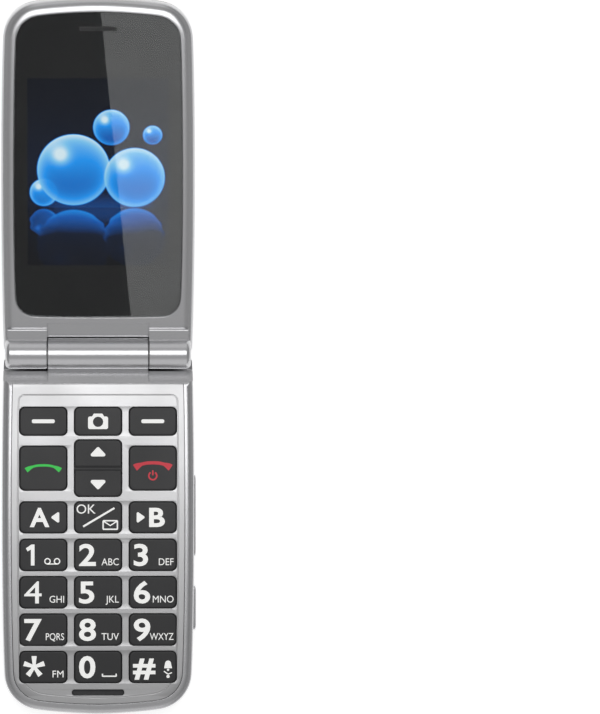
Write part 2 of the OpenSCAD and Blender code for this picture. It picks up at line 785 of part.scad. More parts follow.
module lid_inner_frame() color("silver")
    on_lid() difference() {
        union() {
            intersection() {
                lid_form();
                bar([-far, -2 * far, lid_z], [far, far, lid_split]);
            }
            ears();
            steps();
        }
        barrel_notch();
        difference() {
            translate([0, 0, bezel_top]) linear_extrude(far) lid_outline(wall);
            bar([-far, lid_cavity_y, -far], [far, far, far]);
            for (p = lid_screw_at)
                both_sides() translate([p[0], p[1], 0]) cylinder(r = 1.8, h = far, $fn = mid_fn);
        }
        inner_glass_area(0, lid_z - 1, bezel_low);
        bar([-screen_w / 2 - 0.3, -screen_mid - screen_len / 2 - 0.3, lid_z],
            [screen_w / 2 + 0.3, -screen_mid + screen_len / 2 + 0.3, bezel_top + 1]);
        pad(earpiece_slot, [0, -earpiece_at], 0.5, lid_z, bezel_top + 1);
        for (p = lid_screw_at)
            both_sides() translate([p[0], p[1], 0]) {
                cylinder(r = screw_r + tight, h = far, $fn = mid_fn);
                cylinder(r = screw_head_r + 0.1, h = bezel_low + 0.75, $fn = mid_fn);
            }
        bar([barrel_half - 0.2, -1.35, -1.35], [socket_end, 1.35, 1.35]);
        rod(pivot_r + 0.02, -socket_end, 0);
    }

module inner_glass_area(inset, z0, z1)
    {
        mid = -glass_start - glass_len / 2;
        intersection() {
            translate([0, 0, z0]) linear_extrude(z1 - z0) lid_outline((body_w - glass_w) / 2 + inset);
            pad([glass_w + 2 - 2 * inset, glass_len - 2 * inset], [0, mid], 5.3 - inset, z0, z1);
        }
    }

module inner_glass() color([0.1, 0.1, 0.12, 0.6])
    on_lid() difference() {
        inner_glass_area(0.08, glass_z, glass_z + glass_t);
        pad(earpiece_slot, [0, -earpiece_at], 0.5, lid_z, bezel_top);
    }

module inner_display() color("navy")
    on_lid()
        bar([-screen_w / 2 - 1.8, screen_in - module_margin - reach, bezel_top + tight],
            [screen_w / 2 + 1.8, module_margin - screen_start, bezel_top + tight + display_t]);

module lid_board() color("darkgreen")
    on_lid() {
        difference() {
            bar([-lid_board_x, earpiece_size[1] / 2 + 1.1 - earpiece_at, lid_board_z],
                [lid_board_x, -glass_start - 1, lid_board_z + board_t]);
            for (p = lid_screw_at)
                both_sides() translate([p[0], p[1], 0]) cylinder(r = 2, h = far, $fn = mid_fn);
        }
        for (x = outer_key_x)
            bar([x - 2, -outer_key_at - 2, lid_board_z + board_t - 0.01],
                [x + 2, -outer_key_at + 2, outer_foot_top - foot_t - key_travel - 0.1]);
    }

module earpiece() color("dimgray")
    on_lid()
        pad(earpiece_size, [0, -earpiece_at], 1.5, bezel_top + tight, lid_split - 0.2);

module ringer_speaker() color("dimgray")
    on_lid()
        pad([speaker[0], speaker[1]], [0, -speaker_at], 1, cover_low - speaker[2], cover_low);

module camera_module() color("black")
    on_lid() {
        bar([-camera_half, -camera_at - camera_half, lid_board_z + board_t + tight],
            [camera_half, -camera_at + camera_half - 1.2, cover_low - tight]);
        translate([0, -camera_at, cover_low - 1])
            cylinder(r = camera_lens_r, h = outer_glass_z - cover_low + 0.9, $fn = fine_fn);
    }

module outer_display() color("navy")
    on_lid() {
        x = outer_screen_w / 2 + 1.6;
        y = outer_screen_len / 2 + 2.4;
        bar([-x, -outer_screen_mid - y, cover_low - tight - outer_display_t],
            [x, -outer_screen_mid + y, cover_low - tight]);
    }

module outer_glass_block(inset, z0, z1)
    pad([outer_glass_w - 2 * inset, outer_glass_len - 2 * inset],
        [0, -outer_glass_start - outer_glass_len / 2], 1.9 - inset, z0, z1);

module outer_glass() color([0.05, 0.05, 0.06, 0.6])
    on_lid() outer_glass_block(0.08, outer_glass_z, outer_glass_z + glass_t);

module lid_outer_cover() color("gray")
    on_lid() difference() {
        intersection() {
            lid_form();
            bar([-far, -2 * far, lid_split], [far, far, lid_top]);
        }
        barrel_notch();
        difference() {
            translate([0, 0, lid_split - 1])
                linear_extrude(cover_low - lid_split + 1) lid_outline(cover_inset);
            bar([-far, lid_cavity_y, -far], [far, far, far]);
            for (p = lid_screw_at)
                both_sides() translate([p[0], p[1], 0]) cylinder(r = 1.9, h = far, $fn = mid_fn);
        }
        pad([speaker[0] + 0.1, speaker[1] + 0.1], [0, -speaker_at], 1, lid_split - 1, cover_low);
        pad(speaker_slot, [0, -speaker_at], 1.1, cover_low - 0.1, lid_top + 1);
        outer_glass_block(0, outer_glass_z, lid_top + 1);
        bar([-outer_screen_w / 2 - 0.3, outer_screen_in - 0.3 - reach, cover_low - 1],
            [outer_screen_w / 2 + 0.3, 0.3 - outer_screen_start, outer_glass_z + 0.1]);
        translate([0, -camera_at, cover_low - 1]) cylinder(r = camera_lens_r + 0.2, h = 2, $fn = fine_fn);
        for (i = [0:2])
            pad([outer_key_w[i] + 2 * key_gap, outer_key_h + 2 * key_gap], [outer_key_x[i], -outer_key_at],
                key_r + key_gap, cover_low - 1, lid_top + 1);
        for (p = lid_screw_at)
            both_sides() translate([p[0], p[1], 0])
                cylinder(r = screw_r + tight, h = cover_low - 0.3, $fn = mid_fn);
    }

module outer_key(i) color("dimgray")
    on_lid() {
        w = outer_key_w[i];
        at = [outer_key_x[i], -outer_key_at];
        foot_low = outer_foot_top - foot_t;
        pad([w, outer_key_h], at, key_r, foot_low, outer_key_top);
        pad([w + 2 * key_foot, outer_key_h + 2 * key_foot], at, key_r, foot_low, outer_foot_top);
    }

module lid_screws() color("silver")
    on_lid()
        for (p = lid_screw_at)
            both_sides() translate([p[0], p[1], 0]) screw(bezel_low + 0.05, cover_low - 0.5);

module lid_magnet() color("silver")
    on_lid()
        bar([magnet_x[0], -earpiece_at - 2, bezel_top + tight],
            [magnet_x[1], -earpiece_at + 2, bezel_top + 1.2]);

base_front_shell();
base_rear_shell();
battery_cover();
keypad_plate();
keypad_membrane();
dome_sheet();
main_board();
battery();
battery_contacts();
card_socket();
vibration_motor();
usb_port();
charge_contacts();
microphone();
antenna();
volume_rocker();
side_key();
base_screws();
screw_plugs();
hinge_spring_unit();
hinge_bush();
hinge_flex();
nav_rocker();
lid_inner_frame();
lid_outer_cover();
inner_glass();
inner_display();
outer_glass();
outer_display();
lid_board();
earpiece();
ringer_speaker();
camera_module();
lid_screws();
lid_magnet();
hinge_cam_shaft();
hinge_pivot_tube();
for (i = [0:2])
    outer_key(i);
for (k = KEYS)
    key(k);
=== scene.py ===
"""Flip phone, open and lying on its back: the looks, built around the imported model.

Sizes are in millimetres until a mesh is made. The keypad half is drawn where it lies. The screen
half is drawn closed, measured from the hinge axis, and turned open when its mesh is made.
"""
import json

import bmesh
import bpy
import numpy as np
from mathutils import Matrix

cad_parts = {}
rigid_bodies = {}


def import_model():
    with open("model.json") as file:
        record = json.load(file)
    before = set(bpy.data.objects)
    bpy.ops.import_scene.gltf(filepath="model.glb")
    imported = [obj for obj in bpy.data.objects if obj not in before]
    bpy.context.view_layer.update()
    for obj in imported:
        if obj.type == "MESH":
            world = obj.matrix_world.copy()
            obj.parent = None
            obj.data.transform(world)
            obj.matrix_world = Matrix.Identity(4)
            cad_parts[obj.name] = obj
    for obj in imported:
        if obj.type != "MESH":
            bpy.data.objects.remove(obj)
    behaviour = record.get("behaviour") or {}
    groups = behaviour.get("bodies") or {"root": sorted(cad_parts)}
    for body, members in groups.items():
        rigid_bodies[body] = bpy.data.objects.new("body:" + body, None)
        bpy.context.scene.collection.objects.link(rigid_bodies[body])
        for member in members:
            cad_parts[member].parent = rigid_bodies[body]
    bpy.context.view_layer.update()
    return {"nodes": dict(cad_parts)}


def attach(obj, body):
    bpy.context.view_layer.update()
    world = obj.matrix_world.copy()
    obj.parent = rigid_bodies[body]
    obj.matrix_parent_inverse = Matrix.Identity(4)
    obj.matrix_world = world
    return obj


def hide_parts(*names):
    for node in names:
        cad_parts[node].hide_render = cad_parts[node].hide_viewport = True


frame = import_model()

MM = 0.001
FAR = 60.0  # Past every side of the phone, for cuts that run right through.
ABOVE, BELOW = 12, -1  # Over and under the keypad half.

# Sizes of the keypad half.
FREE_Y, HINGE_Y, HINGE_Z = -47.3, 47.3, 10.55
OPEN = np.radians(-165.0)
BASE_T, BASE_SPLIT = 10.4, 6.1
REAR_EDGE, RIM_IN, RIM_DOWN = 3.5, 2.3, 1.2
WALL = 1.3
PLATE_TOP, DECK_TOP, DECK_LOW = 10.25, 9.45, 8.55
KEY_TOP, KEY_LOW, FOOT_TOP = 10.5, 8.1, 8.5
KEY_W, PITCH, KEY_R, KEY_GAP = 12.3, 14.35, 1.3, 0.15
MIC_Y, MIC_SLOT, MIC_R = HINGE_Y - 88.9, (13.7, 1.6), 0.7
PLATE_IN, PLATE_HINGE_Y, PLATE_FREE_Y = 2.4, 39.4, -45.3
CAVITY_END, SEAM = 38.4, 0.1
COVER_W, COVER_LEN, COVER_Y, COVER_T, COVER_R, COVER_GAP = 44.0, 70.0, -44.1, 1.2, 6.0, 0.12
BARREL_R, BARREL_HALF, BARREL_BORE_R = 4.0, 13.2, 2.9
SIDE_FACE, SIDE_KEY_H = 25.85, 2.6
# Room for the lid's turn, measured from the hinge axis: the cover's edge, the step's valley and the ears' pocket.
EDGE_SWEEP_R, EDGE_FROM, EAR_EDGE_FROM = 8.8, 1.8, -1.6
VALLEY_FALL, VALLEY_END, PLATE_START = 0.33, 1.8, -7.85
STEP_SWEEP = (-7.2, -1.35)
POCKET_AT, POCKET_R = (1.0, -2.2), 5.6

# Sizes of the screen half, closed and measured from the hinge axis.
LID_Z, LID_SPLIT, LID_TOP = 0.15, 4.2, 8.55
COVER_EDGE, END_EDGE = 4.5, 6.0
LID_RIM_IN, LID_RIM_DOWN = 3.0, 1.9
GLASS_Z, BEZEL_LOW, BEZEL_TOP, GLASS_T = 0.35, 1.15, 1.95, 0.8
OUTER_GLASS_Z, COVER_LOW = 7.65, 6.85
NOTCH_HALF, NOTCH_R, EAR_END, EAR_END_R = 13.35, 4.35, 24.3, 1.3
NOTCH_FROM, NOTCH_TO = -1.2, 1.6  # Where the notch's round room for the barrel starts and ends, in y and z.
LID_FREE_Y, LID_CAVITY_END = -94.6, -9.2
STEP_TOP, STEP_R = 0.65, 0.4
# Each screen: width, height, middle from the hinge axis.
SCREEN = (36.7, 50.0, -48.6)
OUTER_GLASS = (37.0, 57.7, -43.05)
OUTER_SCREEN = (28.0, 35.0, -45.3)
EAR_SLOT, EAR_SLOT_Y, EAR_SLOT_R = (10.0, 1.1), -86.7, 0.5
SPEAKER_SLOT, SPEAKER_Y, SPEAKER_R = (12.3, 2.25), -9.1, 1.1
LENS = (0, -17.8)
# Outer keys: place and width.
OUTER_KEYS = {"outer_call_key": (-13.44, 11.52), "outer_clock_key": (0.0, 12.21), "outer_end_key": (13.344, 11.71)}
OUTER_KEY_Y, OUTER_KEY_H, OUTER_KEY_TOP = -78.4, 7.3, 8.65

# Keys of the keypad: column, hinge axis to the middle, height.
KEYS = {
    "softkey_left": (-1, 17.75, 7.3), "camera_key": (0, 17.75, 7.3), "softkey_right": (1, 17.75, 7.3),
    "call_key": (-1, 30.05, 11.5), "nav_rocker": (0, 30.05, 14.8), "end_key": (1, 30.05, 11.5),
    "key_a": (-1, 42.95, 8.1), "key_ok": (0, 42.95, 8.1), "key_b": (1, 42.95, 8.1),
}
for place, sign in enumerate([*"123456789", "star", "0", "hash"]):
    KEYS["key_" + sign] = (place % 3 - 1, 52.8 + 9.8 * (place // 3), 8.2)


# ---- Meshes ----

def turned_open(points):
    """Closed place to open place: turned about the hinge axis by the opening angle."""
    x, y, z = np.asarray(points, float).T
    c, s = np.cos(OPEN), np.sin(OPEN)
    return np.stack([x, y * c - z * s + HINGE_Y, y * s + z * c + HINGE_Z], 1)


def placed(name, data):
    """A new object in the scene."""
    thing = bpy.data.objects.new(name, data)
    bpy.context.scene.collection.objects.link(thing)
    return thing


def final_mesh(thing):
    """A new mesh of an object as its modifiers or its curve settings make it."""
    bpy.context.view_layer.update()
    return bpy.data.meshes.new_from_object(thing.evaluated_get(bpy.context.evaluated_depsgraph_get()))


def piece(name, points, faces, lid=False):
    """A mesh object at the origin from points in mm and lists of corners."""
    points = turned_open(points) if lid else np.asarray(points, float)
    mesh = bpy.data.meshes.new(name)
    mesh.from_pydata((points * MM).tolist(), [], [list(map(int, f)) for f in faces])
    mesh.update()
    return placed(name, mesh)


def stack(rings, high_pole=False):
    """Rings of equal count, from the lowest up and each anticlockwise, joined by quads.

    The lower end is closed by one flat face, the upper end by one too or by a fan to the middle of its ring.
    """
    rings = np.asarray(rings, float)
    count, around = rings.shape[:2]
    index = np.arange(count * around).reshape(count, around)
    after = np.roll(index, -1, axis=1)
    quads = np.stack([index[:-1], after[:-1], after[1:], index[1:]], -1).reshape(-1, 4).tolist()
    points = rings.reshape(-1, 3)
    quads.append(index[0][::-1].tolist())
    if high_pole:
        quads += [[a, b, len(points)] for a, b in zip(index[-1], after[-1])]
        points = np.vstack([points, rings[-1].mean(0)])
    else:
        quads.append(index[-1].tolist())
    return points, quads


def joined(parts):
    """Several (points, faces) pairs as one."""
    points, faces, start = [], [], 0
    for p, f in parts:
        points.append(p)
        faces += [[c + start for c in face] for face in f]
        start += len(p)
    return np.vstack(points), faces


def raised(outline, z):
    """A flat outline at the height z, which is one number or one for each point."""
    return np.column_stack([outline, np.broadcast_to(z, len(outline))])


def prism(outline, z0, z1):
    """An upright solid with a flat outline."""
    return stack([raised(outline, z0), raised(outline, z1)])


def across(profile, x0, x1):
    """A solid whose section in (y, z), anticlockwise seen from +x, runs along x."""
    y, z = np.asarray(profile, float).T
    return stack([np.column_stack([np.full(len(y), x), y, z]) for x in (x0, x1)])


def box(low, high):
    """A block from its lowest to its highest corner."""
    (x0, y0, z0), (x1, y1, z1) = low, high
    return prism(np.array([[x0, y0], [x1, y0], [x1, y1], [x0, y1]]), z0, z1)


def arc(centre, radius, start, end, count):
    """Points on a circle from one angle to another, in degrees."""
    a = np.radians(np.linspace(start, end, count))
    return np.stack([centre[0] + radius * np.cos(a), centre[1] + radius * np.sin(a)], 1)


def circle(centre, radius, count):
    """A closed ring of points, anticlockwise, whose last point isn't the first again."""
    return arc(centre, radius, 0, 360, count + 1)[:-1]


def rounded(w, h, r, at=(0.0, 0.0), steps=9):
    """Rectangle with quarter circles at its corners, anticlockwise."""
    x, y = w / 2 - r, h / 2 - r
    corners = [(x, y, 0), (-x, y, 90), (-x, -y, 180), (x, -y, 270)]
    return np.vstack([arc((at[0] + cx, at[1] + cy), r, a, a + 90, steps) for cx, cy, a in corners])


def rod(radius, x0, x1, y, z, steps=96):
    """A round bar along x."""
    return across(circle((y, z), radius, steps), x0, x1)


def hull_of_discs(discs, count=380):
    """Smooth outline round a set of discs (x, y, radius, edge radius).

    In each direction n the outline lies at the support distance ln(sum(exp(k(c.n + r)))) / k, less what
    the blend adds where discs meet, and touches there with n as its normal. Points are spread by length
    and turn together. Returns points, normals and the edge radius blended with the same weights.
    """
    sharpness, excess = 3.0, 0.16
    x, y, r, edge = np.asarray(discs, float).T
    turn = np.linspace(0, 2 * np.pi, 40001)
    nx, ny = np.cos(turn)[:, None], np.sin(turn)[:, None]
    reach = sharpness * (x * nx + y * ny + r)
    top = reach.max(1, keepdims=True)
    weight = np.exp(reach - top)
    total = weight.sum(1, keepdims=True)
    support = ((top + np.log(total)) / sharpness)[:, 0] - excess
    weight /= total
    slope = (weight * (y * nx - x * ny)).sum(1)
    points = np.stack([support * nx[:, 0] - slope * ny[:, 0], support * ny[:, 0] + slope * nx[:, 0]], 1)
    length = np.concatenate([[0], np.cumsum(np.hypot(*np.diff(points, axis=0).T))])
    spread = 0.45 * length / length[-1] + 0.55 * turn / turn[-1]
    at = np.interp(np.arange(count) / count, spread, np.arange(len(turn)))
    pick = lambda v: np.interp(at, np.arange(len(turn)), v)
    normals = np.stack([np.cos(pick(turn)), np.sin(pick(turn))], 1)
    return np.stack([pick(points[:, 0]), pick(points[:, 1])], 1), normals, pick(weight @ edge)


def half_discs(y_hinge, hinge_corner, edge, hinge_edge, y_free=FREE_Y):
    """The discs of one half: free corners, side middles, hinge corners and the crowned free end."""
    mid = (y_free + y_hinge) / 2
    return [(s * 14.75, y_free + 11, 10, edge) for s in (-1, 1)] + \
        [(s * 15.25, mid, 10, edge) for s in (-1, 1)] + \
        [(s * (24.9 - hinge_corner), y_hinge - hinge_corner, hinge_corner, hinge_edge) for s in (-1, 1)] + \
        [(0, y_free + 20, 20, edge)]


BASE_OUTLINE = hull_of_discs(half_discs(HINGE_Y + 3.2, 6.0, REAR_EDGE, REAR_EDGE))
LID_OUTLINE = hull_of_discs(half_discs(4.4, 6.5, COVER_EDGE, END_EDGE, y_free=LID_FREE_Y))
INNER_GLASS_OUTLINE = hull_of_discs(
    [(s * 14.75, -83.6, 6.7, 0) for s in (-1, 1)] + [(s * 15.25, -45.1, 6.7, 0) for s in (-1, 1)]
    + [(s * 16.4, -15.1, 5.3, 0) for s in (-1, 1)] + [(0, -74.6, 16.7, 0)], 300)


def inset(outline, by, y_max=None, y_min=None):
    """The outline moved inwards, and cut straight at y_max or y_min."""
    points = outline[0] - np.reshape(by, (-1, 1)) * outline[1]
    return np.column_stack([points[:, 0], np.clip(points[:, 1], y_min, y_max)]) if y_max or y_min else points


def quarter(count):
    """Angles from 0 to 90 degrees, in radians."""
    return np.radians(np.linspace(0, 90, count))


def base_rings():
    """Side of the keypad half: rear edge on a quarter circle, upright wall, rim on a quarter ellipse."""
    low = [(REAR_EDGE * (1 - np.sin(a)), REAR_EDGE * (1 - np.cos(a))) for a in quarter(12)]
    high = [(RIM_IN * (1 - np.cos(a)), BASE_T - RIM_DOWN * (1 - np.sin(a))) for a in quarter(12)]
    rear = low + [(0, BASE_SPLIT - SEAM), (SEAM, BASE_SPLIT)]
    front = [(SEAM, BASE_SPLIT), (0, BASE_SPLIT + SEAM)] + high
    return [[raised(inset(BASE_OUTLINE, i), z) for i, z in part] for part in (rear, front, low + high)]


def lid_rings():
    """Side of the screen half: rim on a quarter ellipse, then the cover's edge on a circle of blended radius."""
    edge = LID_OUTLINE[2]
    rim = [(LID_RIM_IN * (1 - np.sin(a)), LID_Z + LID_RIM_DOWN * (1 - np.cos(a))) for a in quarter(16)]
    frame_part = [raised(inset(LID_OUTLINE, i), z) for i, z in rim]
    start = lambda z: np.arcsin(np.clip((z - LID_TOP + edge) / edge, 0, 1))
    for z in (2.3, 2.7, 3.1, 3.6, LID_SPLIT - SEAM, LID_SPLIT):
        seam = SEAM if z == LID_SPLIT else 0
        frame_part.append(raised(inset(LID_OUTLINE, edge * (1 - np.cos(start(z))) + seam), z))
    cover_part = [raised(inset(LID_OUTLINE, edge * (1 - np.cos(start(LID_SPLIT))) + SEAM), LID_SPLIT)]
    first = start(LID_SPLIT + SEAM)
    for share in np.linspace(0, 1, 16):
        a = first + (np.pi / 2 - first) * share
        cover_part.append(raised(inset(LID_OUTLINE, edge * (1 - np.cos(a))), LID_TOP - edge * (1 - np.sin(a))))
    return frame_part, cover_part


def flat_parts(loops, thickness, bevel=0.0):
    """Points and faces of a filled 2D curve, extruded about z = 0, with rounded edges."""
    curve = bpy.data.curves.new("outline", "CURVE")
    curve.dimensions, curve.fill_mode = "2D", "BOTH"
    curve.extrude, curve.bevel_depth = (thickness / 2 - bevel) * MM, bevel * MM
    curve.bevel_resolution, curve.offset = 3, -bevel * MM
    for loop in loops:
        spline = curve.splines.new("POLY")
        spline.points.add(len(loop) - 1)
        spline.points.foreach_set("co", np.column_stack(
            [loop * MM, np.zeros(len(loop)), np.ones(len(loop))]).ravel())
        spline.use_cyclic_u = True
    return curve_parts(curve)


def curve_parts(curve):
    """Points in mm and faces of a curve or text made a mesh. The curve is removed."""
    holder = placed("holder", curve)
    mesh = final_mesh(holder)
    points = np.zeros(len(mesh.vertices) * 3)
    mesh.vertices.foreach_get("co", points)
    faces = [list(p.vertices) for p in mesh.polygons]
    bpy.data.objects.remove(holder)
    bpy.data.curves.remove(curve)
    bpy.data.meshes.remove(mesh)
    return points.reshape(-1, 3) / MM, faces


def flat_form(name, loops, thickness, bevel, z_low, lid=False):
    """A flat piece from its outer outline and its holes."""
    points, faces = flat_parts(loops, thickness, bevel)
    made = piece(name, points + (0, 0, z_low + thickness / 2), faces, lid)
    tidy(made)
    return made


def tidy(thing):
    """Doubles merged and normals turned outwards."""
    work = bmesh.new()
    work.from_mesh(thing.data)
    bmesh.ops.remove_doubles(work, verts=work.verts, dist=1e-6)
    bmesh.ops.recalc_face_normals(work, faces=work.faces)
    work.to_mesh(thing.data)
    work.free()


def combined(thing, parts, operation="DIFFERENCE", lid=False):
    """Cuts or adds solids, given as (points, faces) pairs, one after another."""
    others = bpy.data.collections.new("cutters")
    for part in parts:
        other = piece("cutter", *part, lid=lid)
        bpy.context.scene.collection.objects.unlink(other)
        others.objects.link(other)
    change = thing.modifiers.new("solid", "BOOLEAN")
    change.operand_type, change.collection = "COLLECTION", others
    change.operation, change.solver = operation, "EXACT"
    settle(thing)
    for other in list(others.objects):
        bpy.data.objects.remove(other)
    bpy.data.collections.remove(others)


def settle(thing):
    """Modifiers made permanent."""
    mesh = final_mesh(thing)
    thing.modifiers.clear()
    old, thing.data = thing.data, mesh
    bpy.data.meshes.remove(old)


def fit(thing, body, slot, material, *nodes, crease=32.0):
    """Gives a piece its finish and the body it rides on, and hides the nodes that it stands for.

    It is shaded smooth, with creases kept where the surface turns by more than the angle, in degrees.
    """
    if crease:
        thing.data.shade_smooth()
        thing.data.set_sharp_from_angle(angle=np.radians(crease))
        thing.modifiers.new("normals", "WEIGHTED_NORMAL").keep_sharp = True
    thing.data.materials.clear()
    thing.data.materials.append(material)
    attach(thing, body)
    if nodes:
        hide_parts(*nodes)
    return thing


# ---- Materials ----

def linear(hex_colour):
    """sRGB hex to linear RGBA."""
    v = np.array([int(hex_colour[i:i + 2], 16) for i in (1, 3, 5)]) / 255
    v = np.where(v <= 0.04045, v / 12.92, ((v + 0.055) / 1.055) ** 2.4)
    return (*v, 1.0)


def add(tree, kind, inputs=None, **settings):
    """Adds a node with its settings. An input is a value or another node's output socket."""
    made = tree.nodes.new(kind)
    for key, value in settings.items():
        setattr(made, key, value)
    for key, value in (inputs or {}).items():
        if isinstance(value, bpy.types.NodeSocket):
            tree.links.new(value, made.inputs[key])
        else:
            made.inputs[key].default_value = value
    return made


def per_metre(size_mm):
    """Texture scale at which one feature measures size_mm."""
    return 1 / (size_mm * MM)


def new_material(name):
    """A material with its node tree and its shader."""
    material = bpy.data.materials.new(name)
    material.use_nodes = True
    return material, material.node_tree, material.node_tree.nodes["Principled BSDF"]


def surface(name, colour, second, roughness, grain, depth, spread=0.06, patch=14.0, edge=0.0, **sockets):
    """A moulded, painted or blasted surface.

    The colour wanders between two near tones in patches of some millimetres, the roughness with it,
    and a fine grain of the given size and depth, both in mm, lifts the surface. An edge radius in mm
    softens the creases that the mesh leaves sharp.
    """
    material, tree, shader = new_material(name)
    place = add(tree, "ShaderNodeTexCoord").outputs["Object"]
    wide = add(tree, "ShaderNodeTexNoise", {"Vector": place, "Scale": per_metre(patch), "Detail": 3.0})
    fine = add(tree, "ShaderNodeTexNoise", {"Vector": place, "Scale": per_metre(grain), "Detail": 2.0})
    speck = add(tree, "ShaderNodeMath", {0: wide.outputs["Fac"], 1: fine.outputs["Fac"]}, operation="ADD")
    share = add(tree, "ShaderNodeMapRange", {"Value": speck.outputs[0], "From Min": 0.6, "From Max": 1.4})
    tone = add(tree, "ShaderNodeMix", {0: share.outputs[0], 6: linear(colour), 7: linear(second)},
               data_type="RGBA")
    rough = add(tree, "ShaderNodeMapRange", {"Value": wide.outputs["Fac"], "From Min": 0.3, "From Max": 0.7,
                                             "To Min": roughness - spread / 2, "To Max": roughness + spread / 2})
    lift = {"Height": fine.outputs["Fac"], "Distance": depth * MM, "Strength": 1.0}
    if edge:
        lift["Normal"] = add(tree, "ShaderNodeBevel", {"Radius": edge * MM}, samples=6).outputs[0]
    bump = add(tree, "ShaderNodeBump", lift)
    for socket, value in (("Base Color", tone.outputs[2]), ("Roughness", rough.outputs[0]),
                          ("Normal", bump.outputs[0])):
        tree.links.new(value, shader.inputs[socket])
    for socket, value in sockets.items():
        shader.inputs[socket].default_value = value
    return material


# Satin silver paint on moulded ABS: flakes give a soft metallic gradient and no mirror image.
silver_paint = surface("satin_silver_paint", "#c5c5c7", "#bfbfc1", 0.24, 0.35, 0.003, edge=0.14, Metallic=0.85)
# Bead-blasted, clear-anodised aluminium sheet: brighter than the paint, with a fine even grain.
plate_metal = surface("blasted_aluminium", "#b4b4b5", "#afafb0", 0.32, 0.3, 0.003, Metallic=1.0)
# Satin grey metallic paint on the outer cover.
cover_paint = surface("satin_grey_paint", "#939395", "#8e8e90", 0.4, 0.35, 0.004, edge=0.14, Metallic=0.7)
# Spark-textured grey ABS of the rear: matt, with a grain that breaks up highlights.
rear_abs = surface("textured_grey_abs", "#7b7b7e", "#78787b", 0.46, 0.4, 0.012, spread=0.02, edge=0.12,
                   Metallic=0.45)
# Hard-coated polycarbonate keys: nearly black with a dull sheen.
key_plastic = surface("coated_black_polycarbonate", "#212123", "#1d1d1f", 0.42, 0.3, 0.004)
# Metal and moulded parts that show only when the battery cover is off or between moving pieces.
steel = surface("nickel_plated_steel", "#b4b2ae", "#a9a8a5", 0.3, 0.5, 0.003, Metallic=1.0)
gold = surface("gold_plated_spring", "#d9b25f", "#cfa851", 0.26, 0.4, 0.002, Metallic=1.0)
solder_mask = surface("green_solder_mask", "#1f5a38", "#194d30", 0.34, 0.6, 0.006)
battery_wrap = surface("printed_film_battery_wrap", "#3b3d42", "#34363a", 0.4, 0.8, 0.01)
silicone = surface("frosted_silicone", "#c9cac8", "#bfc0be", 0.55, 0.4, 0.008)
dark_rubber = surface("soft_grey_rubber", "#4a4a4c", "#414143", 0.6, 0.5, 0.012)
black_polymer = surface("black_liquid_crystal_polymer", "#1d1d1f", "#18181a", 0.45, 0.5, 0.008)
amber_film = surface("amber_polyimide_film", "#b9712b", "#a8641f", 0.3, 0.7, 0.004)
# Dull black ink printed under the glass round each picture.
black_ink = surface("black_screen_ink", "#161617", "#131314", 0.5, 0.5, 0.002, **{"Specular IOR Level": 0.1})


def backlit_ink(name, colour, second):
    """Pad print in its own colour, with a painted glow: a faint emission of that colour makes it read bright, though no
    lamp lies under the keys.
    """
    return surface(name, colour, second, 0.5, 0.4, 0.003, **{
        "Emission Color": linear(colour), "Emission Strength": 0.3})


# Key legends: pad print in white, green and red, each with a painted glow so that it reads bright.
white_ink = backlit_ink("white_pad_print_painted_glow", "#f4f4f2", "#eeeeec")
green_ink = backlit_ink("green_pad_print_painted_glow", "#35c44e", "#2fb847")
red_ink = backlit_ink("red_pad_print_painted_glow", "#c43340", "#b82b38")


def clear_glass(name, tint):
    """Polished sheet glass with an anti-glare coating: clear, a faint smoky body, mirror-smooth faces.

    The coating halves what bare glass mirrors, which an index of 1.3 gives.
    """
    material = surface(name, tint, tint, 0.01, 60.0, 0.0, spread=0.006, patch=30.0,
                       **{"Transmission Weight": 1.0, "IOR": 1.3})
    tree = material.node_tree
    tree.links.remove(tree.nodes["Principled BSDF"].inputs["Normal"].links[0])
    return material


inner_clear = clear_glass("toughened_sheet_glass", "#e9ecec")
outer_clear = clear_glass("smoky_acrylic_window", "#dfe1e2")


def lit(name, colours, attribute=None, strength=1.0):
    """A lit picture behind glass: a ramp of colours over an attribute of the mesh, given off as light."""
    material = surface(name, "#050506", "#040405", 0.5, 0.6, 0.001, **{
        "Specular IOR Level": 0.0, "Emission Strength": strength})
    tree = material.node_tree
    if attribute:
        level = add(tree, "ShaderNodeAttribute", attribute_name=attribute).outputs["Fac"]
    else:
        level = add(tree, "ShaderNodeTexNoise", {
            "Vector": add(tree, "ShaderNodeTexCoord").outputs["Object"], "Scale": per_metre(20.0)}).outputs["Fac"]
    ramp = add(tree, "ShaderNodeValToRGB", {"Fac": level})
    steps = ramp.color_ramp.elements
    while len(steps) < len(colours):
        steps.new(0.5)
    for step, (at, colour) in zip(steps, colours):
        step.position, step.color = at, linear(colour)
    tree.links.new(ramp.outputs["Color"], tree.nodes["Principled BSDF"].inputs["Emission Color"])
    return material


night_blue = lit("lit_liquid_crystal_picture", [
    (0.0, "#010206"), (0.2, "#04132c"), (0.4, "#0b5db8"), (0.57, "#1b9bfb"), (0.78, "#86d0fc"), (1.0, "#e2f6ff")],
    "glow")
dial_grey = lit("dim_liquid_crystal_dial", [(0.0, "#3c3c3d"), (1.0, "#464647")])
dial_white = lit("white_dial_print", [(0.0, "#ececec"), (1.0, "#f6f6f6")], strength=0.9)
dial_green = lit("green_charge_sign", [(0.0, "#3fd34a"), (1.0, "#48dc52")], strength=0.9)

# ---- Keypad half ----

rear_part, front_part, whole_part = base_rings()


def valley(y, z, x0, x1):
    """Room above a deck that falls by a third towards the hinge from the place y, z off the hinge axis."""
    section = [(y, z), (VALLEY_END, z - (VALLEY_END - y) * VALLEY_FALL), (VALLEY_END, FAR), (y, FAR)]
    return across(np.array(section) + (HINGE_Y, HINGE_Z), x0, x1)


def edge_room(past):
    """Section cleared by the cover's edge: a disc about the hinge axis, kept beyond the place y = past."""
    wide = np.degrees(np.arccos(past / EDGE_SWEEP_R))
    return arc((HINGE_Y, HINGE_Z), EDGE_SWEEP_R, -wide, wide, 72)


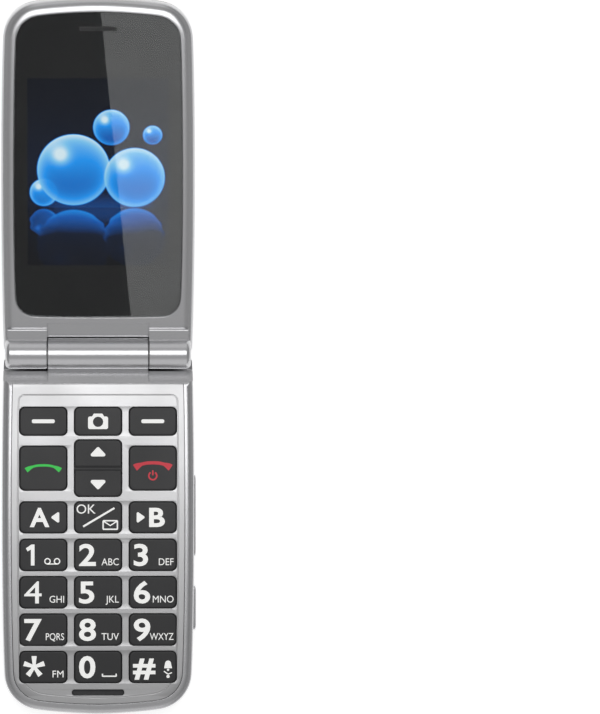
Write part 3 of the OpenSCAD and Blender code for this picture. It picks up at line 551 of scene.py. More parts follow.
def both_sides(solid, *rest):
    """The same solid beyond each end of the barrel."""
    return [solid(*rest, BARREL_HALF, FAR), solid(*rest, -FAR, -BARREL_HALF)]


sweeps = [across(edge_room(EDGE_FROM), -FAR, FAR), valley(PLATE_START, BASE_T - HINGE_Z, -FAR, FAR)] \
    + both_sides(across, edge_room(EAR_EDGE_FROM)) + both_sides(valley, *STEP_SWEEP) \
    + both_sides(across, circle((HINGE_Y + POCKET_AT[0], HINGE_Z + POCKET_AT[1]), POCKET_R, 96))


def key_place(name):
    """Middle of a key in x and y, and its height."""
    column, down, height = KEYS[name]
    return column * PITCH, HINGE_Y - down, height


KEY_OPENINGS = [rounded(KEY_W + 2 * KEY_GAP, h + 2 * KEY_GAP, KEY_R + KEY_GAP, (x, y))
                for x, y, h in map(key_place, KEYS)]
MIC_OPENING = rounded(*MIC_SLOT, MIC_R, (0, MIC_Y))


def side_at(y):
    """Half width of the keypad half at y."""
    return np.interp(y, [FREE_Y + 11, 1.6, HINGE_Y - 2.8], [24.75, 25.25, 24.9])


# Keys on the right side: middle and length along y.
SIDE_KEYS = {"volume_rocker": (4.75, 21.3), "side_key": (-19.5, 11.6)}
SLOT_RISE = SIDE_KEY_H / 2 + KEY_GAP
side_slots = [box((side_at(y) - 2.5, y - w / 2 - KEY_GAP, BASE_SPLIT - SLOT_RISE),
                  (SIDE_FACE + 1.15, y + w / 2 + KEY_GAP, BASE_SPLIT + SLOT_RISE)) for y, w in SIDE_KEYS.values()]
usb_mouth = across(rounded(10, 2.8, 0.5, (FREE_Y + 0.85, 7.05)), -3.85, 3.85)
# Eased edge of the barrel and the ears where they meet: way down from the surface, way in from the end.
barrel_profile = [(0.25, 0.0), (0.12, 0.03), (0.03, 0.12), (0.0, 0.25)]


def turned(profile, y, z):
    """A solid of revolution about an axis along x: pairs of x and radius, in order of x."""
    ring = circle((0, 0), 1, 96)
    return stack([np.column_stack([np.full(len(ring), x), y + r * ring[:, 0], z + r * ring[:, 1]])
                  for x, r in profile])


left_end = [(-BARREL_HALF + i, BARREL_R - d) for d, i in barrel_profile]
barrel = turned(left_end + [(-x, r) for x, r in reversed(left_end)], HINGE_Y, HINGE_Z)

front_shell = piece("front_shell", *stack(front_part))
combined(front_shell, sweeps)
combined(front_shell, [barrel], "UNION")
cavity = prism(inset(BASE_OUTLINE, WALL, y_max=CAVITY_END), BASE_SPLIT - 1, DECK_LOW)
plate_hole = prism(inset(BASE_OUTLINE, PLATE_IN, PLATE_HINGE_Y, PLATE_FREE_Y), DECK_TOP, ABOVE)
bore = rod(BARREL_BORE_R, -FAR, FAR, HINGE_Y, HINGE_Z)
combined(front_shell, [cavity, plate_hole, bore])
holes = [prism(outline, DECK_LOW - 1, ABOVE) for outline in KEY_OPENINGS + [MIC_OPENING]]
combined(front_shell, holes + [usb_mouth] + side_slots)
fit(front_shell, "base", "silver_shell", silver_paint, "base_front_shell")

rear_shell = piece("rear_shell", *stack(rear_part))
combined(rear_shell, sweeps)
cover_mid = (0, COVER_Y + COVER_LEN / 2)
screws = [(s * x, y) for s in (-1, 1) for x, y in ((19.25, 36.6), (16.5, -41.2))]
combined(rear_shell, [prism(rounded(COVER_W + 2 * COVER_GAP, COVER_LEN + 2 * COVER_GAP, COVER_R + 0.1, cover_mid),
                            BELOW, COVER_T + 0.1)])
battery_bay = box((-17.2, -38.3, BELOW), (17.2, 24.4, 5.5))
combined(rear_shell, [battery_bay, usb_mouth] + side_slots
         + [prism(circle(at, 1.5, 40), BELOW, COVER_T + 1.9) for at in screws])
charge_bores = []
for x in (-9, 9):  # Drawn upright, then laid along -y.
    points, faces = prism(circle((x, 4.1), 0.94, 40), 43.7, 48.4)
    charge_bores.append((points[:, [0, 2, 1]] * (1, -1, 1), faces))
combined(rear_shell, charge_bores)
fit(rear_shell, "base", "rear_shell", rear_abs, "base_rear_shell")

battery_lid = piece("rear_battery_lid", *stack(whole_part))
combined(battery_lid, [prism(rounded(COVER_W, COVER_LEN, COVER_R, cover_mid), BELOW, COVER_T)], "INTERSECT")
thumb_grip = rod(2.8, -7, 7, COVER_Y + COVER_LEN - 4, -2.2, 80)
combined(battery_lid, [thumb_grip])
fit(battery_lid, "battery_cover", "rear_shell", rear_abs, "battery_cover")


def round_corners(outline, radius):
    """The hull of discs whose centres lie on the outline moved in by the radius: its sharp corners rounded."""
    middle = (outline.max(0) + outline.min(0)) / 2
    half = (outline.max(0) - outline.min(0)) / 2
    centres = middle + (outline - middle) * (1 - radius / half)
    turn = np.linspace(0, 2 * np.pi, 320, endpoint=False)
    way = np.stack([np.cos(turn), np.sin(turn)], 1)
    far = centres[np.argmax(centres @ way.T, axis=0)]
    return far + radius * way


plate_rim = inset(BASE_OUTLINE, PLATE_IN + 0.1, 39.3, -45.2)
plate = flat_form("key_surround", [plate_rim, *KEY_OPENINGS, MIC_OPENING], 0.8, 0.1, DECK_TOP)
# A fine groove round the field of keys.
field = inset(BASE_OUTLINE, 3.95, HINGE_Y - 10.6, -43.6)
field_in = inset(BASE_OUTLINE, 4.35, HINGE_Y - 11.0, -43.2)
groove_points, groove_faces = flat_parts([round_corners(field, 1.9), round_corners(field_in, 1.5)], 0.4, 0.12)
combined(plate, [(groove_points + (0, 0, PLATE_TOP + 0.1), groove_faces)])
fit(plate, "base", "keypad_silver", plate_metal, "keypad_plate")

mic_felt = flat_form("mic_felt", [rounded(MIC_SLOT[0] - 0.1, MIC_SLOT[1] - 0.1, MIC_R - 0.05, (0, MIC_Y))],
                     0.2, 0.0, DECK_LOW)
fit(mic_felt, "base", "dark_rubber", dark_rubber, crease=0)


def shrunk(outline, inset_by, half):
    """A rounded outline scaled towards its middle so that each side moves in by inset_by."""
    middle = (outline.min(0) + outline.max(0)) / 2
    return middle + (outline - middle) * (1 - inset_by / np.asarray(half))


def cap(outline, z_low, z_high, edge):
    """A key: upright walls, an edge on a quarter circle and a flat top of rings that shrink to its middle."""
    half = (outline.max(0) - outline.min(0)) / 2
    rings = [raised(outline, z_low), raised(outline, z_high - edge)]
    rings += [raised(shrunk(outline, edge * (1 - np.cos(a)), half), z_high - edge * (1 - np.sin(a)))
              for a in quarter(7)[1:]]
    inner = shrunk(outline, edge, half)
    middle = inner.mean(0)
    for s in (0.93, 0.8, 0.6, 0.35, 0.12):
        rings.append(raised(middle + s * (inner - middle), z_high))
    return stack(rings, high_pole=True)


def key_body(name, w, h, r, at, z_low, z_high, foot_top, lid=False):
    """Cap and the foot that keeps it in."""
    foot = prism(rounded(w + 0.8, h + 0.8, r, at), z_low, foot_top)
    top = cap(rounded(w, h, r, at, 10), foot_top - 0.01, z_high, 0.28)
    return piece(name, *joined([foot, top]), lid=lid)


for name in KEYS:
    x, y, h = key_place(name)
    if name == "nav_rocker":
        continue
    key = key_body(name + "_cap", KEY_W, h, KEY_R, (x, y), KEY_LOW, KEY_TOP, FOOT_TOP)
    fit(key, name, "key_black", key_plastic, name, crease=50)

# The rocker's top falls to a groove across its middle.
x, y, h = key_place("nav_rocker")
rocker = piece("rocker_cap", *joined([prism(rounded(KEY_W + 0.8, 3.0, 0.3, (x, y)), KEY_LOW, FOOT_TOP - 0.1),
                                      cap(rounded(KEY_W, h, KEY_R, (x, y), 10), KEY_LOW, KEY_TOP, 0.28)]))
combined(rocker, [rod(0.9, -7.2, 7.2, y, KEY_TOP + 0.6, 64)])
fit(rocker, "nav_rocker", "key_black", key_plastic, "nav_rocker")


def side_button(name, y, length):
    """Silver side key: its face swells to a flat arch and its edges are rounded on a quarter circle."""
    inner = side_at(y) - 1.4
    outline = rounded(length, SIDE_KEY_H, 0.9, (0, 0), 10)
    rings = []
    for out, shrink in [(inner - 0.35 - SIDE_FACE, 0), (-0.45, 0)] + [
            (-0.4 * (1 - np.sin(a)), 0.4 * (1 - np.cos(a))) for a in quarter(7)] + [(0.0, 0.7), (0.0, 1.0)]:
        flat = shrunk(outline, shrink, (length / 2, SIDE_KEY_H / 2))
        bow = 0.22 * (2 * flat[:, 0] / length) ** 2 if out > -1 else 0
        rings.append(np.column_stack([SIDE_FACE + out - bow * np.ones(len(flat)), y + flat[:, 0],
                                      BASE_SPLIT + flat[:, 1]]))
    return piece(name, *stack(rings, high_pole=True))


for name, (y, length) in SIDE_KEYS.items():
    button = side_button(name + "_cap", y, length)
    fit(button, name, "silver_shell", silver_paint, name, crease=45)

# ---- Screen half ----

frame_part, cover_part = lid_rings()
ear_slot = rounded(*EAR_SLOT, EAR_SLOT_R, (0, EAR_SLOT_Y))
# Room for the barrel between the ears, with the recess between the step and the barrel.
notch_section = np.vstack([
    [(FAR, -FAR)], [(FAR, FAR)], [(NOTCH_FROM, FAR)],
    arc((0, 0), NOTCH_R, 180 - np.degrees(np.arccos(-NOTCH_FROM / NOTCH_R)),
        180 - np.degrees(np.arcsin(NOTCH_TO / NOTCH_R)), 24),
    [(-4.9, NOTCH_TO), (-4.9, STEP_TOP), (-8.2, STEP_TOP), (-8.2, -FAR)]])
notch = across(notch_section, -NOTCH_HALF, NOTCH_HALF)
ear = [(NOTCH_HALF + i, BARREL_R - d) for d, i in barrel_profile] + [
    (EAR_END - EAR_END_R + EAR_END_R * np.sin(a), BARREL_R - EAR_END_R * (1 - np.cos(a))) for a in quarter(12)]
step_section = np.vstack([[(-2.4, STEP_TOP), (-6.8, STEP_TOP)], arc((-6.4, -0.6), STEP_R, 180, 270, 8),
                          [(-2.4, -1.0)]])
lid_frame = piece("screen_frame", *stack(frame_part), lid=True)
additions = [turned(ear, 0, 0), turned([(-x, r) for x, r in reversed(ear)], 0, 0)] + [
    across(step_section, *span) for span in ((NOTCH_HALF, EAR_END - 0.6), (0.6 - EAR_END, -NOTCH_HALF))]
for part in additions:
    combined(lid_frame, [part], "UNION", lid=True)
combined(lid_frame, [notch], lid=True)
glass_hole = stack([raised(inset(INNER_GLASS_OUTLINE, i), z) for i, z in (
    (-0.2, LID_Z - 2), (-0.2, LID_Z - 0.01), (0.0, LID_Z + 0.25), (0.0, BEZEL_LOW))])
window = box((-18.65, SCREEN[2] - 25.3, 0), (18.65, SCREEN[2] + 25.3, 3))
lid_cavity = prism(inset(LID_OUTLINE, WALL, y_max=LID_CAVITY_END), BEZEL_TOP, LID_SPLIT + 1)
combined(lid_frame, [glass_hole], lid=True)
combined(lid_frame, [lid_cavity, prism(ear_slot, 0, 3)], lid=True)
combined(lid_frame, [window], lid=True)
fit(lid_frame, "lid", "silver_shell", silver_paint, "lid_inner_frame")

outer_cover = piece("outer_cover", *stack(cover_part), lid=True)
combined(outer_cover, [notch], lid=True)
outer_mid = (0, OUTER_GLASS[2])
past_top = LID_TOP + 1.45
combined(outer_cover, [prism(inset(LID_OUTLINE, 2.9, y_max=LID_CAVITY_END), LID_SPLIT - 1, COVER_LOW)], lid=True)
combined(outer_cover, [prism(rounded(*OUTER_GLASS[:2], 1.9, outer_mid), OUTER_GLASS_Z, past_top)], lid=True)
combined(outer_cover, [
    box((-14.3, OUTER_SCREEN[2] - 17.8, COVER_LOW - 1), (14.3, OUTER_SCREEN[2] + 17.8, OUTER_GLASS_Z + 0.5)),
    prism(circle(LENS, 3.1, 48), COVER_LOW - 1, OUTER_GLASS_Z + 0.5),
    prism(rounded(*SPEAKER_SLOT, SPEAKER_R, (0, SPEAKER_Y)), COVER_LOW - 2, past_top)] + [
    prism(rounded(w + 2 * KEY_GAP, OUTER_KEY_H + 2 * KEY_GAP, KEY_R + KEY_GAP, (x, OUTER_KEY_Y)), COVER_LOW - 1,
          past_top) for x, w in OUTER_KEYS.values()], lid=True)
fit(outer_cover, "lid", "grey_cover", cover_paint, "lid_outer_cover")

for name, (x, w) in OUTER_KEYS.items():
    key = key_body(name + "_cap", w, OUTER_KEY_H, KEY_R, (x, OUTER_KEY_Y), 6.4, OUTER_KEY_TOP, 6.8, lid=True)
    fit(key, name, "outer_key_black", key_plastic, name, crease=50)


def pane(name, outline, z0, z1, edge):
    """A sheet of glass in the lid with its upper and lower edges rounded."""
    low = [(edge * (1 - np.sin(a)), z0 + edge * (1 - np.cos(a))) for a in quarter(5)]
    high = [(i, z0 + z1 - z) for i, z in reversed(low)]
    return piece(name, *stack([raised(inset(outline, i), z) for i, z in low + high]), lid=True)


def with_normals(outline):
    """A closed outline with the outward normal at each point."""
    along = np.roll(outline, -1, 0) - np.roll(outline, 1, 0)
    normals = np.stack([along[:, 1], -along[:, 0]], 1)
    return outline, normals / np.linalg.norm(normals, axis=1, keepdims=True)


# Both panes stand this far off what lies under them, so that the ink between touches neither.
GLASS_GAP = 0.12
glass = pane("screen_glass", (inset(INNER_GLASS_OUTLINE, 0.08), INNER_GLASS_OUTLINE[1]), GLASS_Z,
             BEZEL_LOW - GLASS_GAP, 0.1)
combined(glass, [prism(ear_slot, 0, 2)], lid=True)
fit(glass, "lid", "inner_glass", inner_clear, "inner_glass")
small_glass = pane("outer_window", with_normals(rounded(36.84, 57.54, 1.82, outer_mid, 12)),
                   OUTER_GLASS_Z + GLASS_GAP, OUTER_GLASS_Z + GLASS_T, 0.1)
fit(small_glass, "lid", "outer_glass", outer_clear, "outer_glass")

PICTURE_T = 0.7  # Depth of the picture sheet, which reaches back to the display.
INK_T = 0.03
# Ink under the glass, with the picture's window left open.
ink = flat_form("screen_ink", [inset(INNER_GLASS_OUTLINE, 0.12), rounded(*SCREEN[:2], 0.3, (0, SCREEN[2])),
                               ear_slot], INK_T, 0.0, BEZEL_LOW - 1.5 * INK_T, lid=True)
fit(ink, "lid", "inner_glass", black_ink, crease=0)
outer_ink = flat_form("outer_window_ink", [
    rounded(36.7, 57.4, 1.8, outer_mid), rounded(*OUTER_SCREEN[:2], 0.3, (0, OUTER_SCREEN[2])),
    circle(LENS, 1.5, 48)], INK_T, 0.0, OUTER_GLASS_Z + 0.5 * INK_T, lid=True)
fit(outer_ink, "lid", "outer_glass", black_ink, crease=0)


def picture(name, w, h, y, z, level):
    """A thin sheet whose grid carries the picture's brightness, given by level(u, v)."""
    u, v = np.meshgrid(np.linspace(0, 1, 180), np.linspace(0, 1, 240))
    top = np.column_stack([(u.ravel() - 0.5) * w, y + (v.ravel() - 0.5) * h, np.full(u.size, z)])
    index = np.arange(u.size).reshape(u.shape)
    quads = np.stack([index[:-1, :-1], index[1:, :-1], index[1:, 1:], index[:-1, 1:]], -1).reshape(-1, 4).tolist()
    rim = np.concatenate([index[0, :], index[1:, -1], index[-1, -2::-1], index[-2:0:-1, 0]])
    low = top[rim] + (0, 0, PICTURE_T)
    start = len(top)
    ring = np.arange(len(rim))
    after = np.roll(ring, -1)
    quads += np.stack([rim, rim[after], start + after, start + ring], -1).tolist()
    quads.append((start + ring).tolist())
    thing = piece(name, np.vstack([top, low]), quads, lid=True)
    values = np.concatenate([level(u, v).ravel(), np.zeros(len(rim))]).astype(np.float32)
    thing.data.attributes.new("glow", "FLOAT", "POINT").data.foreach_set("value", values)
    return thing


def drops(x, y):
    """Glassy blue balls: a bright rim on the sixth power of the distance, a paler top and a soft spot of light."""
    light = 0.05 + 0.1 * np.exp(-((y - 24) / 13) ** 2)
    for cx, cy, r in ((14.0, 15.2, 2.5), (3.4, 13.2, 4.7), (-14.0, 30.4, 3.6),
                      (-6.3, 24.4, 9.4), (9.4, 26.4, 7.8)):
        away = np.hypot(x - cx, y - cy) / r
        inside = np.clip((1.0 - away) * r / 0.35 + 0.5, 0, 1)
        body = 0.5 + 0.2 * (cy - y) / r + 0.32 * np.clip(away, 0, 1) ** 6
        body += 0.5 * np.exp(-((x - cx + 0.36 * r) ** 2 + (y - cy + 0.42 * r) ** 2) / (0.24 * r) ** 2)
        light = light * (1 - 0.94 * inside) + body * inside
    return light


def wallpaper(u, v):
    """The balls over still water: below the shore they return upside down and fade, in a blue glow."""
    x, y, shore = (u - 0.5) * SCREEN[0], v * SCREEN[1], 34.4
    deep = np.clip(y - shore, 0, None)
    ripple = 0.25 * np.sin(2.4 * y) * np.minimum(deep / 4, 1)
    light = drops(x + ripple, np.where(y > shore, 2 * shore - y, y)) * np.where(y > shore, 0.62 * np.exp(-deep / 9), 1)
    light += 0.2 * np.exp(-((y - shore - 1.5) / 5.5) ** 2) * np.exp(-(x / 17) ** 4)
    return np.clip(light, 0, 1)


screen = picture("screen_picture", SCREEN[0] + 0.4, SCREEN[1] + 0.4, SCREEN[2], BEZEL_LOW + 0.02, wallpaper)
fit(screen, "lid", "inner_screen", night_blue, crease=0)

# ---- Print on the keys ----

PRINT = 0.03  # Thickness of the print, in mm, half of it sunk in the key.
CAP_SHARE = 0.69  # Height of a capital as a share of the letter size.


def word(text, height, weight=0.0, at=(0.0, 0.0), align=0.0, stretch=1.0):
    """Letters whose capitals have a given height in mm and stand centred on y.

    align is 0 for letters centred on x, -1 for letters that start there and 1 for those that end there.
    """
    letters = bpy.data.curves.new("letters", "FONT")
    letters.body, letters.size, letters.extrude = text, 1.0, 0.5
    letters.offset, letters.resolution_u = weight, 4
    points, faces = curve_parts(letters)
    points = points * MM
    low, high = points.min(0), points.max(0)
    scale = height / (CAP_SHARE + 2 * weight)
    flat = (points[:, :2] - ((low[0] + high[0]) / 2, CAP_SHARE / 2)) * (scale * stretch, scale)
    flat[:, 0] -= align * (high[0] - low[0]) * scale * stretch / 2
    depth = np.where(points[:, 2] > 0, PRINT / 2, -PRINT / 2)
    return np.column_stack([flat + at, depth]), faces


def shape(*loops):
    """Flat ink from an outer outline and its holes."""
    return flat_parts([np.asarray(loop, float) for loop in loops], PRINT)


def stroke(path, width):
    """Outline of a line of the given width along a path: each point moved both ways along its normal."""
    path = np.asarray(path, float)
    along = np.gradient(path, axis=0)
    side = np.stack([-along[:, 1], along[:, 0]], 1) / np.linalg.norm(along, axis=1, keepdims=True)
    half = np.reshape(np.broadcast_to(width, len(path)), (-1, 1)) / 2
    return np.vstack([path - half * side, (path + half * side)[::-1]])


def handset(w, drop, thickness, at):
    """A telephone handset: an arch whose ends thicken into the two ear pieces."""
    t = np.linspace(-1, 1, 33)
    path = np.column_stack([t * w / 2, drop * (1 - np.abs(t) ** 2.6)]) + (at[0], at[1] - drop / 2)
    return shape(stroke(path, thickness * (1 + 1.1 * np.clip((np.abs(t) - 0.62) / 0.3, 0, 1))))


def triangle(w, h, at, turn=0.0):
    """A triangle with rounded corners, pointing up and then turned."""
    core = np.array([[-w / 2, -h / 2], [w / 2, -h / 2], [0, h / 2]]) * 0.8
    ring = np.vstack([arc(c, 0.12 * w, a, a + 120, 5) for c, a in zip(core, (150, 270, 30))])
    a = np.radians(turn)
    return shape(ring @ np.array([[np.cos(a), np.sin(a)], [-np.sin(a), np.cos(a)]]) + at)


def ring(radius, width, at, steps=48):
    """A flat ring from its outer radius and its width."""
    return shape(circle(at, radius, steps), circle(at, radius - width, steps))


def disc(radius, at):
    """A round dot."""
    return shape(circle(at, radius, 32))


def legend(name, parts, at, z, body, ink, slot="key_black", lid=False):
    """A print made of flat parts, fitted to the body that it rides on."""
    points, faces = joined(parts)
    print_piece = piece(name, points + (at[0], at[1], z), faces, lid)
    tidy(print_piece)
    return fit(print_piece, body, slot, ink, crease=0)


def envelope(w, h, line, at):
    """A letter: a frame and the two folds of its flap."""
    x, y = at
    fold = [(x - w / 2 + line, y + h / 2 - line), (x, y - h * 0.06), (x + w / 2 - line, y + h / 2 - line)]
    return [shape(rounded(w, h, line, at), rounded(w - 2 * line, h - 2 * line, line / 2, at)),
            shape(stroke(fold, line * 0.9))]


def power_sign(radius, line, at):
    """A ring open at the top with an upright bar through the opening."""
    x, y = at
    return [shape(stroke(arc(at, radius - line / 2, 125, 415, 33), line)),
            shape(rounded(line, radius * 1.1, line / 2.2, (x, y + radius * 0.62)))]


camera_body = (0.92, 1.0) * np.vstack([
    arc((2.35, 0.75), 0.5, 0, 90, 5), [(1.75, 1.25), (1.2, 2.0), (-1.2, 2.0), (-1.75, 1.25)],
    arc((-2.35, 0.75), 0.5, 90, 180, 5), arc((-2.35, -1.55), 0.5, 180, 270, 5),
    arc((2.35, -1.55), 0.5, 270, 360, 5)])
dash = [shape(rounded(6.0, 1.0, 0.42))]
mailbox = [ring(0.85, 0.3, (1.1, -1.65)), ring(0.85, 0.3, (3.6, -1.65)),
           shape(rounded(2.5, 0.28, 0.1, (2.35, -2.36)))]
space_bar = [shape(stroke([(1.15, -1.75), (1.15, -2.4), (1.16, -2.41), (4.74, -2.41), (4.75, -2.4),
                           (4.75, -1.75)], 0.34))]
# A bell for the silent mode.
silent = [shape(np.vstack([arc((4.0, 0.9), 0.78, 0, 180, 9), [(2.95, -0.35)], [(5.05, -0.35)]])),
          disc(0.3, (4.0, -0.75)),
          shape(stroke([(2.9, -1.1), (4.0, -1.9), (5.0, -1.5)], 0.3)), disc(0.42, (4.0, -2.5))]
slash = [shape(stroke([(-3.9, -2.4), (4.3, 2.45)], 0.5))]

PRINTS = {
    "softkey_left": dash, "softkey_right": dash,
    "camera_key": [shape(camera_body, circle((0, -0.15), 1.35, 32))],
    "nav_rocker": [triangle(3.7, 1.95, (0, 4.3)), triangle(3.7, 1.95, (0, -4.3), 180)],
    "key_a": [word("A", 5.1, 0.03, (-0.97, 0.0)), triangle(2.6, 1.8, (3.15, 0.0), 90)],
    "key_ok": [word("OK", 2.4, 0.0, (-3.15, 2.2))] + slash + envelope(4.1, 2.6, 0.36, (3.2, -2.0)),
    "key_b": [triangle(2.6, 1.8, (-3.2, 0.0), -90), word("B", 5.1, 0.03, (1.1, 0.0), stretch=1.15)],
}
# A plain 1: an upright bar with a flag.
one = shape([(-3.25, -2.75), (-2.3, -2.75), (-2.3, 2.75), (-3.1, 2.75), (-4.55, 1.75), (-4.1, 0.95), (-3.25, 1.45)])
LETTERS = ["", "ABC", "DEF", "GHI", "JKL", "MNO", "PQRS", "TUV", "WXYZ"]
for number, letters in enumerate(LETTERS, 1):
    width = 0.92 if len(letters) < 4 else 0.8
    big = one if number == 1 else word(str(number), 5.8, 0.02 if number != 4 else 0.0, (-5.0, 0.0), -1, 1.18)
    small = mailbox if not letters else [word(letters, 1.8, 0.0, (5.45, -1.8), 1, width)]
    PRINTS[f"key_{number}"] = [big] + small
PRINTS["key_0"] = [word("0", 5.8, 0.026, (-5.0, 0.0), -1, 1.12)] + space_bar
PRINTS["key_hash"] = [word("#", 5.5, 0.03, (-5.2, 0.0), -1, 1.25)] + silent
# A star of five blunt arms that widen outwards.
arms = []
for degrees in (18, 90, 162, 234, 306):
    a = np.radians(degrees)
    out, aside = np.array([np.cos(a), np.sin(a)]), np.array([-np.sin(a), np.cos(a)])
    arms += [0.6 * out - 0.42 * aside, 2.8 * out - 0.68 * aside, 2.8 * out + 0.68 * aside, 0.6 * out + 0.42 * aside]
PRINTS["key_star"] = [shape(np.array(arms) + (-2.4, 0.1)), word("FM", 1.8, 0.0, (5.3, -1.8), 1)]
PRINTS["call_key"] = [handset(9.0, 1.3, 0.62, (0, 0.1))]
PRINTS["end_key"] = [handset(9.4, 1.3, 0.85, (0, 0.75))] + power_sign(1.25, 0.42, (0, -2.0))
INKS = {"call_key": green_ink, "end_key": red_ink}
for name, parts in PRINTS.items():
    legend(name + "_print", parts, key_place(name)[:2], KEY_TOP, name, INKS.get(name, white_ink))

# ---- Outer dial and keys ----

DIAL_Z = OUTER_GLASS_Z - 0.16
DIAL = (0.0, -47.3)
dial_sheet = flat_form("dial_sheet", [rounded(28.4, 35.4, 0.3, (0, OUTER_SCREEN[2]))], DIAL_Z - COVER_LOW, 0.0,
                       COVER_LOW, lid=True)
fit(dial_sheet, "lid", "outer_screen", dial_grey, crease=0)


def about(point_radius, hour):
    """A place on the dial from its radius and its hour."""
    a = np.radians(90 - 30 * hour)
    return point_radius * np.cos(a), point_radius * np.sin(a)


def hand(length, width, hour):
    """A pointed clock hand with a slot along it."""
    a = np.radians(90 - 30 * hour)
    spin = np.array([[np.cos(a), np.sin(a)], [-np.sin(a), np.cos(a)]])
    half = width / 2
    outer = np.array([(1.3, -half), (length - width, -half), (length, 0), (length - width, half), (1.3, half)])
    slot = np.array([(2.4, -half * 0.4), (length - 1.6 * width, -half * 0.4), (length - 1.6 * width, half * 0.4),
                     (2.4, half * 0.4)])
    return shape(outer @ spin, slot @ spin)


marks = [ring(13.75, 0.5, (0, 0), 120)]
for hour in range(1, 13):
    outward = [about(r, hour) for r in (13.4, 12.3 if hour % 3 else 11.9)]
    marks.append(shape(stroke(outward, 0.36)))
    if hour not in (3, 12):
        marks.append(word(str(hour), 1.6, 0.02, about(10.9, hour)))
marks += [word("3", 1.5, 0.02, about(11.0, 3)), word("12", 1.5, 0.02, about(11.15, 12))]
marks += [hand(9.9, 1.7, 12), hand(8.2, 1.9, 3), ring(1.0, 0.35, (0, 0), 32),
          shape(stroke([about(-3.2, 1.7), about(10.6, 1.7)], 0.22))]
marks += [(p + (-11.6, 15.7, 0), f) for p, f in envelope(3.5, 2.5, 0.42, (0, 0))]
marks += [(p + (-8.1, 15.6, 0), f) for p, f in (disc(0.62, (-0.5, -1.0)), shape(rounded(0.32, 2.6, 0.1, (0.0, 0.1))),
                                              shape(stroke([(0.0, 1.3), (0.9, 0.7), (1.0, 0.0)], 0.32)))]
legend("dial_print", marks, DIAL, DIAL_Z, "lid", dial_white, "outer_screen", lid=True)
charge = [shape(rounded(4.2, 2.7, 0.25), rounded(3.6, 2.1, 0.15)), shape(rounded(3.2, 1.7, 0.1)),
          shape(rounded(0.35, 1.2, 0.1, (2.35, 0)))]
legend("charge_sign", charge, (11.0, DIAL[1] + 15.7), DIAL_Z, "lid", dial_green, "outer_screen", lid=True)

lens_ring = flat_form("camera_ring", [circle(LENS, 1.45, 48), circle(LENS, 0.95, 48)], OUTER_GLASS_Z - COVER_LOW, 0.0,
                      COVER_LOW, lid=True)
fit(lens_ring, "lid", "black_component", steel, crease=0)

for part, ink_of in (("call", green_ink), ("end", red_ink)):
    body = f"outer_{part}_key"
    legend(f"outer_{part}_print", [handset(7.6, 1.0, 0.5, (0, 0.2))], (OUTER_KEYS[body][0], OUTER_KEY_Y), OUTER_KEY_TOP,
           body, ink_of, "outer_key_black", lid=True)
clock_rim = flat_form("outer_clock_rim", [rounded(11.6, 6.7, 1.1, (0, OUTER_KEY_Y)),
                                          rounded(10.7, 5.8, 0.8, (0, OUTER_KEY_Y))], 0.08, 0.02,
                      OUTER_KEY_TOP - 0.05, lid=True)
fit(clock_rim, "outer_clock_key", "outer_key_black", steel)
clock_marks = [ring(2.9, 0.42, (0, 0))] + [shape(stroke([about(2.5, h), about(2.05, h)], 0.3)) for h in range(12)]
clock_marks += [shape(stroke([about(1.5, 10.2), (0, 0)], 0.32)), shape(stroke([(0, 0), about(1.9, 1.6)], 0.32))]
legend("outer_clock_print", clock_marks, (0.0, OUTER_KEY_Y), OUTER_KEY_TOP, "outer_clock_key", white_ink,
       "outer_key_black", lid=True)

# ---- Finishes of the CAD nodes that stay ----

KEPT = {
    steel: ["card_socket", "usb_port", "vibration_motor", "base_screws", "lid_screws", "hinge_cam_shaft",
            "hinge_pivot_tube", "hinge_spring_unit", "hinge_bush", "lid_magnet"],
    gold: ["battery_contacts", "charge_contacts"],
    solder_mask: ["main_board", "lid_board"],
    battery_wrap: ["battery"],
    silicone: ["keypad_membrane", "dome_sheet"],
    dark_rubber: ["screw_plugs"],
    black_polymer: ["microphone", "antenna", "earpiece", "ringer_speaker", "camera_module", "inner_display",
                    "outer_display"],
    amber_film: ["hinge_flex"],
}
for material, names in KEPT.items():
    for name in names:
        mesh = frame["nodes"][name].data
        mesh.materials.clear()
        mesh.materials.append(material)

# ---- Floor, light and camera ----


def floor_material():
    """Matt white card. Seen by the camera, in a mirror or through glass, it is lifted to plain white.

    It gives other rays no light of its own, so it keeps the phone's shadow.
    """
    material, tree, shader = new_material("matt_white_card")
    for socket, value in (("Base Color", linear("#e4e4e4")), ("Roughness", 0.9), ("Emission Color", (1, 1, 1, 1))):
        shader.inputs[socket].default_value = value
    path = add(tree, "ShaderNodeLightPath")
    seen = path.outputs["Is Camera Ray"]
    for kind in ("Is Glossy Ray", "Is Transmission Ray"):
        seen = add(tree, "ShaderNodeMath", {0: seen, 1: path.outputs[kind]}, operation="MAXIMUM").outputs[0]
    lift = add(tree, "ShaderNodeMath", {0: seen, 1: 0.7}, operation="MULTIPLY")
    tree.links.new(lift.outputs[0], shader.inputs["Emission Strength"])
    return material


floor = piece("floor", [(-3000, -3000, 0), (3000, -3000, 0), (3000, 3000, 0), (-3000, 3000, 0)], [(0, 1, 2, 3)])
floor.data.materials.append(floor_material())


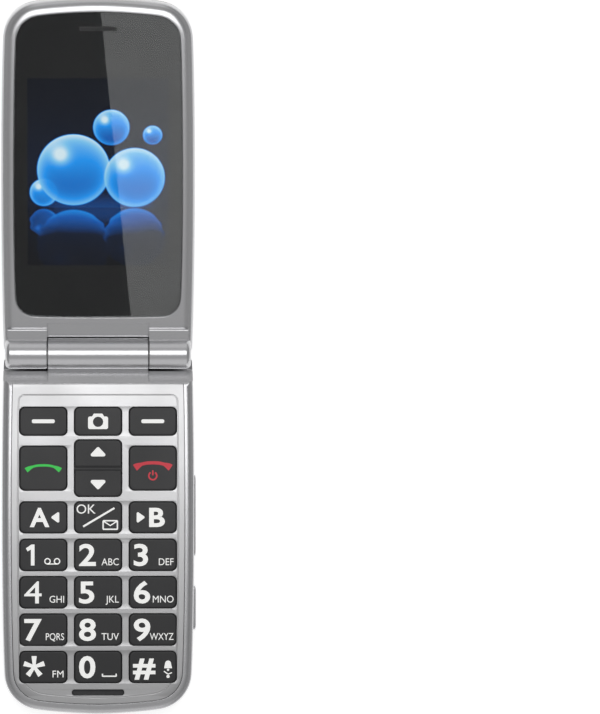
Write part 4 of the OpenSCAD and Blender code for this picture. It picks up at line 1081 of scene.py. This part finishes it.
def studio():
    """White studio with a dimmer ceiling and dark cards at the left and right, as product shots have.

    The light is full at the front and rear walls and falls on a smooth step towards the ceiling and the cards.
    """
    world = bpy.context.scene.world = bpy.data.worlds.new("studio")
    world.use_nodes = True
    tree = world.node_tree
    way = add(tree, "ShaderNodeSeparateXYZ", {0: add(tree, "ShaderNodeTexCoord").outputs["Generated"]})
    aside = add(tree, "ShaderNodeMath", {0: way.outputs["X"]}, operation="ABSOLUTE")
    ceiling = add(tree, "ShaderNodeMapRange", {"Value": way.outputs["Z"], "From Min": 0.62, "From Max": 0.84,
                                               "To Min": 0.85, "To Max": 0.46}, interpolation_type="SMOOTHSTEP")
    cards = add(tree, "ShaderNodeMapRange", {"Value": aside.outputs[0], "From Min": 0.1, "From Max": 0.6,
                                             "To Min": 1.0, "To Max": 0.45}, interpolation_type="SMOOTHSTEP")
    level = add(tree, "ShaderNodeMath", {0: ceiling.outputs[0], 1: cards.outputs[0]}, operation="MULTIPLY")
    back = tree.nodes["Background"]
    tree.links.new(level.outputs[0], back.inputs["Strength"])
    back.inputs["Color"].default_value = (1, 1, 1, 1)


studio()


def lamp(name, at, aim, up, size, radiance):
    """A soft rectangular lamp in metres: facing aim, its second side along up, with an even radiance."""
    at, back, up = (np.asarray(v, float) for v in (at, np.subtract(at, aim), up))
    back = back / np.linalg.norm(back)
    up = up - back * (up @ back)
    up = up / np.linalg.norm(up)
    light = bpy.data.lights.new(name, "AREA")
    light.shape, light.size, light.size_y = "RECTANGLE", *size
    light.energy = radiance * np.pi * size[0] * size[1]
    holder = placed(name, light)
    turn = np.eye(4)
    turn[:3, 0], turn[:3, 1], turn[:3, 2], turn[:3, 3] = np.cross(up, back), up, back, at
    holder.matrix_world = Matrix(turn.tolist())
    holder.visible_camera = False
    return holder


# A narrow box right above gives the thin highlights along the barrel, the ears and the steps.
lamp("top_light", (0.01, 0.088, 0.36), (0.01, 0.06, 0.0), (0, 1, 0), (0.24, 0.17), 2.5)
# A card that only the windows mirror: its edge draws the slanting sheen.
card = lamp("sheen_card", (0.1255, -0.1048, 0.4258), (0.1241, 0.1072, 0.0288), (-0.0983, 0.8777, 0.469),
            (0.24, 0.30), 2.6)
windows = bpy.data.collections.new("windows_that_mirror_the_card")
for pane_piece in (glass, small_glass):
    windows.objects.link(pane_piece)
card.light_linking.receiver_collection = windows

camera = placed("camera", bpy.data.cameras.new("camera"))
# Straight above the phone and turned to the right, so that the phone lies at the left of the picture.
camera.location = (-0.0002, 0.0464, 1.51)
camera.rotation_euler = (0, -np.arctan2(0.0532, 1.5), 0)
camera.data.sensor_fit = "VERTICAL"
camera.data.sensor_height = 24
camera.data.lens = 24 * 1.5 / 0.1874
camera.data.clip_end = 20
bpy.context.scene.camera = camera
bpy.context.scene.view_settings.view_transform = "Standard"
